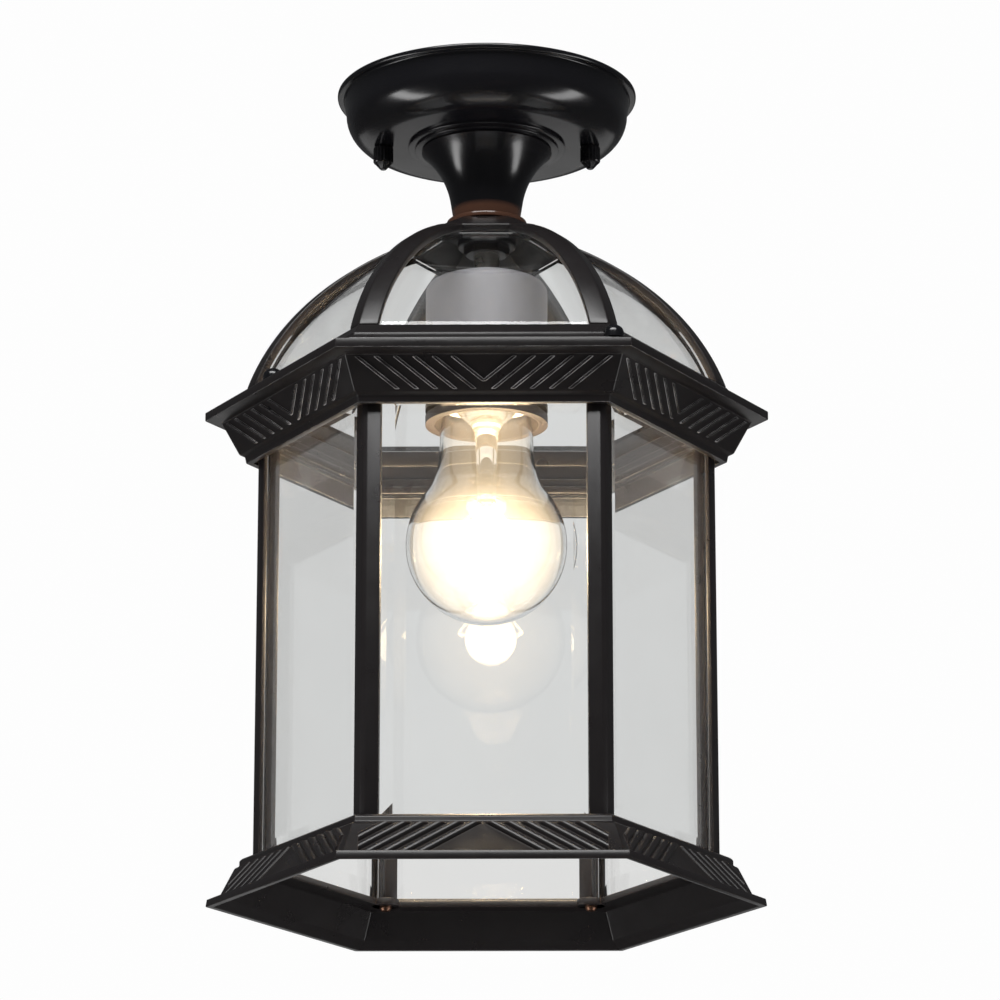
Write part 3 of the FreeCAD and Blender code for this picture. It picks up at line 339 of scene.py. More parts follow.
def round_copies(bm):
    """Repeats everything in the mesh at all six sides."""
    bmesh.ops.spin(bm, geom=everything(bm), cent=(0, 0, 0), axis=(0, 0, 1), dvec=(0, 0, 0),
                   angle=2 * math.pi * (SIDES - 1) / SIDES, steps=SIDES - 1,
                   use_duplicate=True)


def rotate(bm, degrees):
    bmesh.ops.rotate(bm, cent=(0, 0, 0), matrix=turn(degrees).to_3x3(), verts=bm.verts)


def trim(bm, point, normal):
    """Cuts away what lies beyond a plane and closes the cut."""
    cut = bmesh.ops.bisect_plane(bm, geom=everything(bm), plane_co=point, plane_no=normal,
                                 clear_outer=True, dist=1e-7)
    edges = [g for g in cut["geom_cut"] if isinstance(g, bmesh.types.BMEdge)]
    if edges:
        bmesh.ops.holes_fill(bm, edges=edges, sides=0)


def rod(bm, radius, start, end, segments=12):
    """A round bar between two points."""
    start, end = Vector(start), Vector(end)
    along = end - start
    lean = along.to_track_quat("Z", "Y").to_matrix().to_4x4()
    bmesh.ops.create_cone(bm, cap_ends=True, segments=segments, radius1=radius, radius2=radius,
                          depth=along.length, matrix=Matrix.Translation((start + end) / 2) @ lean)


def finished(bm, name, body, material, stands_for=(), smooth=32.0):
    """Makes the mesh a piece that rides on its body."""
    bmesh.ops.recalc_face_normals(bm, faces=bm.faces[:])
    mesh = bpy.data.meshes.new(name)
    bm.to_mesh(mesh)
    bm.free()
    mesh.materials.append(material)
    mesh.shade_smooth()
    mesh.set_sharp_from_angle(angle=math.radians(smooth))
    piece = bpy.data.objects.new(name, mesh)
    bpy.context.scene.collection.objects.link(piece)
    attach(piece, body)
    if stands_for:
        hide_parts(*stands_for)
    return piece


def six_pieces(bm, stem, node_stem):
    """One satin casting at each corner, each standing for its own node."""
    for index in range(SIDES):
        copy = bm.copy()
        rotate(copy, SIDE_TURN * index)
        finished(copy, stem + str(index + 1), "lantern", FINISH["satin"],
                 [node_stem + str(index + 1)])
    bm.free()


def dress(names, material):
    """Gives CAD nodes a finish."""
    for name in names:
        node = frame["nodes"][name]
        for slot in node.material_slots:
            slot.material = material


def numbered(stem, last):
    return [stem + str(index + 1) for index in range(last)]


# Material helpers

def add(tree, kind, sockets=None, **settings):
    """Adds a node, sets it, and links or fills the sockets named or numbered."""
    made = tree.nodes.new(kind)
    for name, value in settings.items():
        setattr(made, name, value)
    for name, value in (sockets or {}).items():
        if isinstance(value, bpy.types.NodeSocket):
            tree.links.new(value, made.inputs[name])
        else:
            made.inputs[name].default_value = value
    return made


def blended(tree, factor, first, second):
    """A colour between two."""
    return add(tree, "ShaderNodeMix", {"Factor": factor, "A": first, "B": second},
               data_type="RGBA").outputs["Result"]


def either(tree, factor, first, second):
    """A shader between two."""
    return add(tree, "ShaderNodeMixShader", {0: factor, 1: first, 2: second}).outputs["Shader"]


def ranged(tree, value, start, end, at_start=0.0, at_end=1.0):
    """A value spread from one range over another and held at its ends."""
    return add(tree, "ShaderNodeMapRange", {"Value": value, "From Min": start, "From Max": end,
                                            "To Min": at_start,
                                            "To Max": at_end}).outputs["Result"]


def calculated(tree, operation, *values):
    return add(tree, "ShaderNodeMath", dict(enumerate(values)),
               operation=operation).outputs["Value"]


def effect_group(name, inputs, outputs):
    """An empty effect, with the sockets it is given and those it fills."""
    group = bpy.data.node_groups.new(name, "ShaderNodeTree")
    for socket, kind, default in inputs:
        made = group.interface.new_socket(socket, in_out="INPUT", socket_type=kind)
        if default is not None:
            made.default_value = default
    for socket in outputs:
        group.interface.new_socket(socket, in_out="OUTPUT", socket_type="NodeSocketFloat")
    return (group, group.nodes.new("NodeGroupInput").outputs,
            group.nodes.new("NodeGroupOutput").inputs)


def make_cast_grain():
    """Fine orange peel and slow mottling of paint on a casting."""
    group, given, result = effect_group(
        "Cast Grain",
        [("Vector", "NodeSocketVector", None), ("Grain", "NodeSocketFloat", 1400.0),
         ("Mottle", "NodeSocketFloat", 60.0)],
        ["Height", "Mottle"])
    for scale, detail, rough, filled in (("Grain", 3.0, 0.6, "Height"),
                                         ("Mottle", 4.0, 0.55, "Mottle")):
        noise = add(group, "ShaderNodeTexNoise", {"Vector": given["Vector"],
                                                  "Scale": given[scale], "Detail": detail,
                                                  "Roughness": rough})
        group.links.new(noise.outputs["Fac"], result[filled])
    return group


def make_edge_wear_and_highlight():
    """A broken mask along the edges, for thinned paint and for painted edge highlights."""
    group, given, result = effect_group(
        "Edge Wear And Highlight",
        [("Vector", "NodeSocketVector", None), ("Reach", "NodeSocketFloat", 0.0006),
         ("Amount", "NodeSocketFloat", 1.0)],
        ["Mask"])
    shape = add(group, "ShaderNodeNewGeometry")
    rounded = add(group, "ShaderNodeBevel", {"Radius": given["Reach"]}, samples=4)
    facing = add(group, "ShaderNodeVectorMath",
                 {0: rounded.outputs["Normal"], 1: shape.outputs["True Normal"]},
                 operation="DOT_PRODUCT")
    turned_away = ranged(group, facing.outputs["Value"], 0.965, 0.8)
    patches = add(group, "ShaderNodeTexNoise", {"Vector": given["Vector"], "Scale": 180.0,
                                                "Detail": 5.0})
    broken = ranged(group, patches.outputs["Fac"], 0.35, 0.7, 0.15, 1.0)
    both = calculated(group, "MULTIPLY", turned_away, broken)
    scaled = calculated(group, "MULTIPLY", both, given["Amount"])
    group.links.new(scaled, result["Mask"])
    return group


EFFECTS = {}


def effect(tree, name, sockets):
    """Uses a shared effect, made when it is first asked for."""
    if name not in EFFECTS:
        EFFECTS[name] = {"Cast Grain": make_cast_grain, "Edge Wear And Highlight": make_edge_wear_and_highlight}[name]()
    return add(tree, "ShaderNodeGroup", sockets, node_tree=EFFECTS[name])


def blank_material(name):
    """A material without nodes, its tree and its Object coordinates."""
    material = bpy.data.materials.new(name)
    material.use_nodes = True
    tree = material.node_tree
    tree.nodes.clear()
    return material, tree, add(tree, "ShaderNodeTexCoord").outputs["Object"]


def surfaced(material, tree, sockets):
    """Ends a material with one surface."""
    surface = add(tree, "ShaderNodeBsdfPrincipled", sockets)
    add(tree, "ShaderNodeOutputMaterial", {"Surface": surface.outputs["BSDF"]})
    return material


def scaled_colour(base, by):
    return (*[min(1.0, c * by) for c in base], 1)


# Finishes

def paint(name, base, edge_wear_and_highlight, roughness, grain=1400.0, bump=0.00002, wear_and_highlight_amount=0.6, spread=0.1,
          shine_level=0.5, reach=0.0007, bronze=None):
    """Baked paint on metal: peel, mottled shine, edges lightened as thinned paint and painted
    highlight, and bronze at the neck's foot.
    """
    material, tree, where = blank_material(name)
    cast = effect(tree, "Cast Grain", {"Vector": where, "Grain": grain, "Mottle": 70.0})
    edge_wear_and_highlight_mask = effect(tree, "Edge Wear And Highlight", {"Vector": where, "Reach": reach, "Amount": wear_and_highlight_amount})
    # Edges lightened toward the edge colour: thinned paint, and a painted edge highlight.
    tint = blended(tree, edge_wear_and_highlight_mask.outputs["Mask"], (*base, 1), (*edge_wear_and_highlight, 1))
    if bronze:
        height = add(tree, "ShaderNodeSeparateXYZ", {"Vector": where}).outputs["Z"]
        foot = ranged(tree, height, Z_NECK + 0.0054, Z_NECK + 0.0034)
        tint = blended(tree, foot, tint, (*bronze, 1))
    shine = ranged(tree, cast.outputs["Mottle"], 0.3, 0.7, roughness - spread / 2,
                   roughness + spread / 2)
    peel = add(tree, "ShaderNodeBump", {"Height": cast.outputs["Height"], "Distance": bump,
                                        "Strength": 1.0})
    return surfaced(material, tree, {
        "Base Color": tint, "Roughness": shine, "Normal": peel.outputs["Normal"],
        "Metallic": 0.0, "IOR": 1.5, "Specular IOR Level": shine_level})


def bare_metal(name, base, roughness, metallic=1.0):
    """Unpainted metal or ceramic, slightly uneven in shade and shine."""
    material, tree, where = blank_material(name)
    cast = effect(tree, "Cast Grain", {"Vector": where, "Grain": 700.0, "Mottle": 90.0})
    shade = blended(tree, cast.outputs["Mottle"], scaled_colour(base, 0.78),
                    scaled_colour(base, 1.2))
    shine = ranged(tree, cast.outputs["Mottle"], 0.3, 0.7, roughness - 0.06, roughness + 0.08)
    bump = add(tree, "ShaderNodeBump", {"Height": cast.outputs["Height"], "Distance": 0.00001})
    return surfaced(material, tree, {
        "Base Color": shade, "Roughness": shine, "Metallic": metallic,
        "Normal": bump.outputs["Normal"]})


def clear_glass(name, tint, ior):
    """Glass that lets lamp light through and carries faint wiping marks."""
    material, tree, where = blank_material(name)
    marks = add(tree, "ShaderNodeTexNoise", {"Vector": where, "Scale": 28.0, "Detail": 6.0})
    tone = blended(tree, ranged(tree, marks.outputs["Fac"], 0.3, 0.8), (*tint, 1),
                   scaled_colour(tint, 0.975))
    wave = add(tree, "ShaderNodeBump", {"Height": marks.outputs["Fac"], "Distance": 0.00003,
                                        "Strength": 0.5})
    surface = add(tree, "ShaderNodeBsdfPrincipled",
                  {"Base Color": tone, "Roughness": 0.0, "IOR": ior,
                   "Transmission Weight": 1.0, "Normal": wave.outputs["Normal"]})
    through = add(tree, "ShaderNodeBsdfTransparent", {"Color": (*[c ** 0.5 for c in tint], 1)})
    rays = add(tree, "ShaderNodeLightPath")
    seen = either(tree, rays.outputs["Is Shadow Ray"], surface.outputs["BSDF"],
                  through.outputs["BSDF"])
    add(tree, "ShaderNodeOutputMaterial", {"Surface": seen})
    return material


def glowing(name, base, strength):
    """Hot wire."""
    material, tree, where = blank_material(name)
    ripple = add(tree, "ShaderNodeTexNoise", {"Vector": where, "Scale": 900.0})
    heat = blended(tree, ripple.outputs["Fac"], (*base, 1), scaled_colour(base, 1.15))
    return surfaced(material, tree, {
        "Base Color": heat, "Roughness": 0.5, "Emission Color": heat,
        "Emission Strength": strength})


def painted_glare(name, base, centre, radius, strength, glare_veil):
    """Painted glare: light-emitting air in the lamp, brightest at its centre and fading outwards to
    a faint, even level.
    """
    material, tree, where = blank_material(name)
    placed = add(tree, "ShaderNodeMapping", {"Vector": where,
                                             "Location": tuple(-c for c in centre)})
    far = add(tree, "ShaderNodeVectorMath", {0: placed.outputs["Vector"]}, operation="LENGTH")
    fade = ranged(tree, far.outputs["Value"], 0.0, radius, 1.0, 0.0)
    curve = calculated(tree, "POWER", fade, 0.9)
    light = add(tree, "ShaderNodeEmission",
                {"Color": (*base, 1),
                 "Strength": calculated(tree, "MULTIPLY_ADD", curve, strength, glare_veil)})
    add(tree, "ShaderNodeOutputMaterial", {"Volume": light.outputs["Emission"]})
    return material


def sleeve_paint(name, base, dark_brown):
    """Grey paint, darker brown on the outside near the lamp, and left grey inside the mouth."""
    material, tree, where = blank_material(name)
    parts = add(tree, "ShaderNodeSeparateXYZ", {"Vector": where}).outputs
    flat = add(tree, "ShaderNodeCombineXYZ", {"X": parts["X"], "Y": parts["Y"]})
    reach = add(tree, "ShaderNodeVectorMath", {0: flat.outputs["Vector"]}, operation="LENGTH")
    wall = high("socket_cup").x - 0.0064
    outer = ranged(tree, reach.outputs["Value"], wall, wall + 0.0008)
    lowered = ranged(tree, parts["Z"], Z_CUP_MOUTH + 0.02, Z_CUP_MOUTH + 0.013)
    tone = blended(tree, calculated(tree, "MULTIPLY", outer, lowered), (*base, 1), (*dark_brown, 1))
    return surfaced(material, tree, {"Base Color": tone, "Roughness": 0.6})


FINISH = {}


def make_finishes(finishes):
    """Builds every finish once."""
    satin, gloss, edge_wear_and_highlight = tuple(finishes.satin), tuple(finishes.gloss), tuple(finishes.edge_wear_and_highlight)
    FINISH["satin"] = paint("satin_black_casting", satin, edge_wear_and_highlight, finishes.satin_roughness,
                            shine_level=0.4)
    # The cornice's edge colour is a near-white painted highlight along its raised lines and mitres.
    FINISH["cornice"] = paint("satin_black_cornice", satin, finishes.painted_edge_highlight,
                              finishes.satin_roughness, wear_and_highlight_amount=1.0, reach=0.0004, shine_level=0.3)
    FINISH["gloss"] = paint("gloss_black_spinning", gloss, edge_wear_and_highlight, finishes.gloss_roughness,
                            grain=500.0, bump=0.000004, wear_and_highlight_amount=0.15, spread=0.05)
    FINISH["neck"] = paint("gloss_black_neck", gloss, edge_wear_and_highlight, finishes.gloss_roughness,
                           grain=500.0, bump=0.000004, wear_and_highlight_amount=0.2, spread=0.05,
                           bronze=finishes.bronze)
    FINISH["cup"] = sleeve_paint("grey_sleeve", finishes.cup, finishes.dark_brown)
    FINISH["steel"] = bare_metal("plated_steel", finishes.steel, 0.3)
    FINISH["bronze_screw"] = bare_metal("bronzed_screw", (0.22, 0.12, 0.08), 0.38)
    FINISH["brass"] = bare_metal("contact_brass", finishes.brass, 0.3)
    FINISH["aluminium"] = bare_metal("cap_aluminium", (0.78, 0.77, 0.74), 0.28)
    FINISH["ceramic"] = bare_metal("white_ceramic", finishes.ceramic, 0.3, metallic=0.0)
    FINISH["pane"] = clear_glass("pane_glass", finishes.glass, 1.5)
    FINISH["bulb"] = clear_glass("lamp_glass_clear", (0.97, 0.965, 0.95), 1.47)
    FINISH["filament"] = glowing("lit_filament", finishes.lamp_light,
                                 finishes.filament_strength)


# Pieces

def slope_frame(sizes, z_top, z_low):
    """The top of a sloping face, its ways down and out, and its length."""
    down = Vector((sizes.slope_low - sizes.slope_top, 0, z_low - z_top))
    face_length = down.length
    down.normalize()
    out = Vector((-down.z, 0, down.x))
    return Vector((sizes.slope_top, 0, z_top)), down, out, face_length


class LANTERN_OT_canopy(bpy.types.Operator):
    """Spun canopy pan with its rolled rim, and the two knurled cap nuts"""
    bl_idname = "lantern.canopy"
    bl_label = "Canopy"

    def execute(self, context):
        sizes = context.scene.lantern_canopy
        wall, shoulder_z = sizes.wall, -sizes.shoulder_drop
        bead, lead, roll = 0.002, 0.0006, 0.001
        outer = [(STEM_BORE, Z_CANOPY)]
        outer += bend((sizes.flat, Z_CANOPY), (sizes.shoulder, Z_CANOPY),
                      (sizes.shoulder, shoulder_z), 14)
        outer += bend((sizes.body, -bead - lead), (sizes.body, -bead),
                      (sizes.body + lead, -bead), 4)
        outer += bend((sizes.rim - roll, -bead), (sizes.rim, -bead), (sizes.rim, -bead + roll), 6)
        outer += bend((sizes.rim, -lead), (sizes.rim, 0.0), (sizes.rim - lead, 0.0), 4)
        inner = [(sizes.body - wall, 0.0), (sizes.body - wall, -bead)]
        inner += list(reversed(bend((sizes.flat, Z_CANOPY + wall),
                                    (sizes.shoulder - wall, Z_CANOPY + wall),
                                    (sizes.shoulder - wall, shoulder_z), 10)))
        inner += [(STEM_BORE, Z_CANOPY + wall)]
        bm = bmesh.new()
        spun(bm, outer + inner, 160)
        finished(bm, "canopy_pan", "lantern", FINISH["gloss"], ["canopy"])
        self.cap_nut("cap_nut_left", "cap_nut_l", -NUT_PLACE, sizes)
        self.cap_nut("cap_nut_right", "cap_nut_r", NUT_PLACE, sizes)
        dress(["box_strap", "canopy_strap", "strap_locknut", "canopy_stud_left",
               "canopy_stud_right", "stem_tube"], FINISH["steel"])
        return {"FINISHED"}

    def cap_nut(self, node, body, x, sizes):
        top, tip = high(node).z, low(node).z
        knurl_low, point_radius = tip + 0.0026, sizes.nut - 0.0004
        flutes, flute_depth = 18, 0.00028
        bm = bmesh.new()
        spun(bm, [(0, top), (point_radius, top), (sizes.nut, top - 0.0004),
                  (sizes.nut, knurl_low + 0.0003), (sizes.nut - 0.0003, knurl_low), (0, knurl_low)],
             flutes * 2, closed=False)
        for vert in [v for v in bm.verts if v.co.xy.length > sizes.nut - 0.00005]:
            if round(math.atan2(vert.co.y, vert.co.x) / (math.pi / flutes)) % 2:
                vert.co.xy *= 1 - flute_depth / sizes.nut
        point = bmesh.new()
        spun(point, [(0, knurl_low + 0.0002), (point_radius, knurl_low + 0.0002),
                     (point_radius, knurl_low - 0.0001), (sizes.nut_tip, tip + 0.0002),
                     (sizes.nut_tip - 0.0003, tip), (0, tip)], 8, closed=False)
        join(bm, point)
        bmesh.ops.translate(bm, vec=(x, 0, 0), verts=bm.verts)
        finished(bm, node + "_knurled", body, FINISH["gloss"], [node], smooth=15)


class LANTERN_OT_neck(bpy.types.Operator):
    """Stepped collar, flared neck and the washer under it"""
    bl_idname = "lantern.neck"
    bl_label = "Neck"

    def execute(self, context):
        sizes = context.scene.lantern_neck
        z_step, round_step, edge = Z_CANOPY - 0.0011, 0.0004, 0.0003
        bm = bmesh.new()
        outline = [(STEM_BORE, Z_CANOPY), (sizes.collar, Z_CANOPY)]
        outline += bend((sizes.collar, z_step + round_step), (sizes.collar, z_step),
                        (sizes.collar - round_step, z_step), 4)
        outline += [(sizes.step, z_step)]
        outline += bend((sizes.step, Z_COLLAR + edge), (sizes.step, Z_COLLAR),
                        (sizes.step - edge, Z_COLLAR), 4)
        outline += [(STEM_BORE, Z_COLLAR)]
        spun(bm, outline, 128)
        finished(bm, "collar", "lantern", FINISH["gloss"], ["neck_collar"])

        wall, z_inside = 0.0024, Z_NECK + 0.004
        bm = bmesh.new()
        lip_z = Z_COLLAR - 0.0007
        waist_z = Z_NECK + 0.0078
        flare = sweep((sizes.lip, lip_z), (sizes.lip - 0.006, lip_z - 0.0053),
                      (sizes.waist + 0.0012, waist_z + 0.0079), (sizes.waist, waist_z), 26)
        flare += [(sizes.base, Z_NECK + edge)]
        outline = [(sizes.lip - wall, Z_COLLAR), (sizes.lip - edge, Z_COLLAR),
                   (sizes.lip, Z_COLLAR - edge)] + flare
        outline += [(sizes.base - edge, Z_NECK), (STEM_BORE, Z_NECK), (STEM_BORE, z_inside),
                    (sizes.base - wall, z_inside)]
        inside = [(r - wall, z) for r, z in reversed(flare) if z > z_inside]
        spun(bm, outline + inside, 128)
        finished(bm, "flared_neck", "lantern", FINISH["neck"], ["neck"])

        bm = bmesh.new()
        spun(bm, [(STEM_BORE, Z_NECK), (sizes.washer, Z_NECK), (sizes.washer, Z_CROWN),
                  (STEM_BORE, Z_CROWN)], 96)
        soften(bm, edge)
        finished(bm, "neck_foot_washer", "lantern", FINISH["neck"], ["neck_washer"])
        return {"FINISHED"}


class LANTERN_OT_dome(bpy.types.Operator):
    """Crown, six curved angle ribs, the ring they stand on, its screws and the curved glass"""
    bl_idname = "lantern.dome"
    bl_label = "Dome"

    def arc_point(self, sizes, inset, apothem=None, z=None):
        radius = sizes.arc - inset
        centre_z = Z_CROWN - sizes.arc_drop
        if z is None:
            return (apothem, centre_z + math.sqrt(radius ** 2 - (apothem - sizes.arc_inset) ** 2))
        return (sizes.arc_inset + math.sqrt(radius ** 2 - (z - centre_z) ** 2), z)

    def execute(self, context):
        sizes = context.scene.lantern_dome
        self.crown(sizes)
        self.ribs(sizes)
        self.ring(sizes)
        self.screws(sizes)
        dress(numbered("dome_pane_", SIDES), FINISH["pane"])
        dress(["crown_nut", "cup_nut"], FINISH["satin"])
        return {"FINISHED"}

    def crown(self, sizes):
        rim = self.arc_point(sizes, 0, apothem=sizes.crown_rim)
        centre = Vector((sizes.arc_inset, Z_CROWN - sizes.arc_drop))
        shrunk = centre + (Vector(rim) - centre) * (1 - sizes.thickness / sizes.arc)
        bm = bmesh.new()
        hole, z_under = 0.0045, Z_CROWN - sizes.thickness
        six_sided(bm, [(hole, Z_CROWN), (sizes.crown_top, Z_CROWN), rim, tuple(shrunk),
                       (sizes.crown_top - 0.001, z_under), (hole, z_under)])
        soften(bm, 0.0006, 3)
        hub, hub_radius, chamfer = bmesh.new(), 0.011, 0.0004
        z_hub, z_boss = Z_CROWN - 0.001, Z_CROWN - 0.0072
        spun(hub, [(STEM_BORE, z_hub), (hub_radius, z_hub), (hub_radius, z_boss + chamfer),
                   (hub_radius - chamfer, z_boss), (STEM_BORE, z_boss)], 48)
        join(bm, hub)
        finished(bm, "crown_hub", "lantern", FINISH["satin"], ["crown"])

    def ribs(self, sizes):
        centre_z = Z_CROWN - sizes.arc_drop
        start = self.arc_point(sizes, 0, apothem=sizes.crown_rim)
        end = self.arc_point(sizes, 0, z=Z_RING_TOP)
        first = math.atan2(start[1] - centre_z, start[0] - sizes.arc_inset)
        last = math.atan2(end[1] - centre_z, end[0] - sizes.arc_inset)
        wider_than_a_side = 0.09
        rib = bmesh.new()
        left = rib.verts.new((start[0], -wider_than_a_side, start[1]))
        right = rib.verts.new((start[0], wider_than_a_side, start[1]))
        edge = rib.edges.new((left, right))
        bmesh.ops.spin(rib, geom=[left, right, edge], cent=(sizes.arc_inset, 0, centre_z),
                       axis=(0, 1, 0), dvec=(0, 0, 0), angle=first - last, steps=28)
        seam = Vector((math.sin(MITRE), -math.cos(MITRE), 0))
        for point, normal in (((0, 0, 0), -seam), (seam * sizes.flange * math.cos(MITRE), seam)):
            bmesh.ops.bisect_plane(rib, geom=everything(rib), plane_co=point, plane_no=normal,
                                   clear_outer=True, dist=1e-7)
        rotate(rib, -SIDE_TURN / 2)
        bmesh.ops.mirror(rib, geom=everything(rib), matrix=Matrix.Identity(4), merge_dist=1e-6,
                         axis="Y")
        bmesh.ops.remove_doubles(rib, verts=rib.verts[:], dist=1e-6)
        bmesh.ops.recalc_face_normals(rib, faces=rib.faces[:])
        if sum(face.normal.x for face in rib.faces) < 0:
            bmesh.ops.reverse_faces(rib, faces=rib.faces[:])
        bmesh.ops.solidify(rib, geom=rib.faces[:], thickness=sizes.thickness)
        soften(rib, sizes.edge, 3, 25)
        six_pieces(rib, "curved_rib_", "dome_rib_")

    def ring(self, sizes):
        top = self.arc_point(sizes, 0, z=Z_RING_TOP)
        z_foot, waist = Z_CORNICE + 0.0027, 0.081
        glass_low, play = Z_RING_TOP - 0.0031, 0.0002
        rebate = self.arc_point(sizes, sizes.thickness, z=glass_low)[0] + play
        edge = high("dome_ring").y
        cove = sweep((edge - 0.0008, z_foot), (edge - 0.0024, z_foot + 0.0004),
                     (waist + 0.0002, Z_RING_TOP - 0.0044), (waist, Z_RING_TOP - 0.0036), 7)
        bm = bmesh.new()
        six_sided(bm, [(RING_BORE, Z_CORNICE), (edge, Z_CORNICE), (edge, z_foot)] + cove
                  + [(waist - 0.0007, Z_RING_TOP - 0.003), top, (rebate, Z_RING_TOP),
                     (rebate, glass_low), (RING_BORE, glass_low)])
        soften(bm, 0.0003, 2, 28)
        finished(bm, "dome_moulding", "lantern", FINISH["satin"], ["dome_ring"])

    def screws(self, sizes):
        for name in numbered("dome_screw_", 3):
            lowest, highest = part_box(name)
            x, y = (lowest.x + highest.x) / 2, (lowest.y + highest.y) / 2
            top, seat, shank, edge = highest.z, highest.z - sizes.screw_head, 0.0017, 0.0003
            bm = bmesh.new()
            outline = [(0, top)] + bend((0.0009, top - 0.0001), (sizes.screw, top),
                                        (sizes.screw, top - 0.003), 9)
            outline += [(sizes.screw, seat + edge), (sizes.screw - edge, seat), (shank, seat),
                        (shank, lowest.z), (0, lowest.z)]
            spun(bm, outline, 40, closed=False)
            bmesh.ops.translate(bm, vec=(x, y, 0), verts=bm.verts)
            finished(bm, name + "_round_head", "lantern", FINISH["gloss"], [name])


class LANTERN_OT_cornice(bpy.types.Operator):
    """Cast cornice with a herringbone of raised lines on each face"""
    bl_idname = "lantern.cornice"
    bl_label = "Cornice"

    def execute(self, context):
        sizes = context.scene.lantern_cornice
        z_lip = Z_CORNICE - sizes.lip_height
        z_slope = z_lip - 0.001
        z_band = z_slope - sizes.slope_height
        z_channel = Z_POST_TOP + 0.003
        channel = 0.0755
        hollow_top = sizes.slope_top - 0.0036
        hollow_low = hollow_top - 0.0038
        step = 0.0705
        z_inner = z_channel + 0.0035
        bm = bmesh.new()
        six_sided(bm, [
            (RING_BORE, Z_CORNICE), (channel, Z_CORNICE), (channel, z_channel),
            (hollow_low, z_channel), (hollow_top, z_slope), (hollow_top, Z_CORNICE),
            (sizes.lip, Z_CORNICE), (sizes.lip, z_lip), (sizes.slope_top, z_slope),
            (sizes.slope_low, z_band), (sizes.band, z_band - 0.0008),
            (sizes.band - 0.0005, Z_CORNICE_LOW), (POST_SOCKET, Z_CORNICE_LOW),
            (POST_SOCKET, Z_POST_TOP), (LEDGE, Z_POST_TOP), (LEDGE, z_channel), (step, z_channel),
            (step, z_inner), (RING_BORE, z_inner)])
        soften(bm, sizes.edge, 2, 20)
        join(bm, self.lines(sizes, z_slope, z_band))
        finished(bm, "cornice_casting", "lantern", FINISH["cornice"], ["cornice"])
        return {"FINISHED"}

    def lines(self, sizes, z_slope, z_band):
        top, down, out, face_length = slope_frame(sizes, z_slope, z_band)
        margin, sunk, first_line = 0.0009, 0.0003, 0.76
        run = face_length - 2 * margin
        angle = math.radians(sizes.angle)
        lean = run / math.tan(angle)
        half = sizes.line / 2 / math.sin(angle)
        lines = bmesh.new()
        for side in (-1, 1):
            for index in range(sizes.lines):
                begin = lean * first_line + index * sizes.pitch
                end, fall = begin - lean, run
                if end < 0:
                    end, fall = 0.0, run * begin / lean
                plan = [(begin - half, 0), (begin + half, 0),
                        (end + half, fall), (end - half, fall)]
                points = [top + Vector((0, side * across, 0)) + down * (margin + along) - out * sunk
                          for across, along in plan]
                bar = bmesh.new()
                prism(bar, points, out * (sizes.line_height + sunk))
                soften(bar, 0.0002, 2, 20)
                join(lines, bar)
        rotate(lines, SIDE_TURN / 2)
        round_copies(lines)
        return lines


class LANTERN_OT_cage(bpy.types.Operator):
    """Six glazing posts with their screws, and the flat bevelled panes"""
    bl_idname = "lantern.cage"
    bl_label = "Cage"

    def post_point(self, along, depth, side):
        x = CAGE_CORNER - along * math.sin(MITRE) - depth * math.cos(MITRE)
        y = along * math.cos(MITRE) - depth * math.sin(MITRE)
        return Vector((x, side * y, Z_SEAT))

    def execute(self, context):
        sizes = context.scene.lantern_cage
        inner = sizes.skin + sizes.slot
        profile = [(sizes.cut, 0), (sizes.face, 0), (sizes.face, sizes.skin),
                   (sizes.slot_edge, sizes.skin), (sizes.slot_edge, inner),
                   (sizes.back_edge, inner), (sizes.back_edge, inner + sizes.back)]
        plan = [self.post_point(a, d, 1) for a, d in profile]
        plan += [self.post_point(a, d, -1) for a, d in reversed(profile)]
        tall = Z_POST_TOP - Z_SEAT
        post = bmesh.new()
        prism(post, plan, (0, 0, tall))
        soften(post, sizes.edge, 2, 20)
        channel = bmesh.new()
        place = CAGE_CORNER - sizes.depth + sizes.boss
        bore = sizes.screw + 0.0001
        half_opening, runs = math.radians(40), 14
        outline = []
        for radius, way in ((sizes.boss, 1), (bore, -1)):
            for index in range(runs + 1):
                turned = half_opening + (2 * math.pi - 2 * half_opening) * index / runs
                angle = math.pi + way * turned
                outline.append(Vector((place + radius * math.cos(angle),
                                       radius * math.sin(angle), Z_SEAT)))
        prism(channel, outline, (0, 0, tall))
        join(post, channel)
        six_pieces(post, "glazing_post_", "post_")
        self.screws(sizes, place)
        dress(numbered("side_pane_", SIDES), FINISH["pane"])
        return {"FINISHED"}

    def screws(self, sizes, place):
        for node, head_up in (("post_screws_upper", True), ("post_screws_lower", False)):
            lowest, highest = low(node).z, high(node).z
            head_radius, head_height, thread_depth, pitch = 0.0023, 0.002, 0.00025, 0.0008
            seat = highest - head_height if head_up else lowest + head_height
            screws = bmesh.new()
            screw = bmesh.new()
            z = 0.0
            outline = []
            shank = abs((lowest if head_up else highest) - seat)
            while z < shank - pitch:
                outline += [(sizes.screw - thread_depth, z), (sizes.screw, z + pitch / 2)]
                z += pitch
            outline = [(0, 0)] + outline + [(sizes.screw - thread_depth, z), (0, shank)]
            spun(screw, outline, 14, closed=False)
            head = bmesh.new()
            spun(head, [(0, 0), (head_radius, 0), (head_radius, -0.0008), (0.0017, -0.0017),
                        (0.0006, -head_height), (0, -head_height)], 24, closed=False)
            join(screw, head)
            if head_up:
                bmesh.ops.scale(screw, vec=(1, 1, -1), verts=screw.verts)
            bmesh.ops.translate(screw, vec=(place, 0, seat), verts=screw.verts)
            join(screws, screw)
            round_copies(screws)
            finished(screws, node + "_threaded", "lantern", FINISH["bronze_screw"],
                     [node])


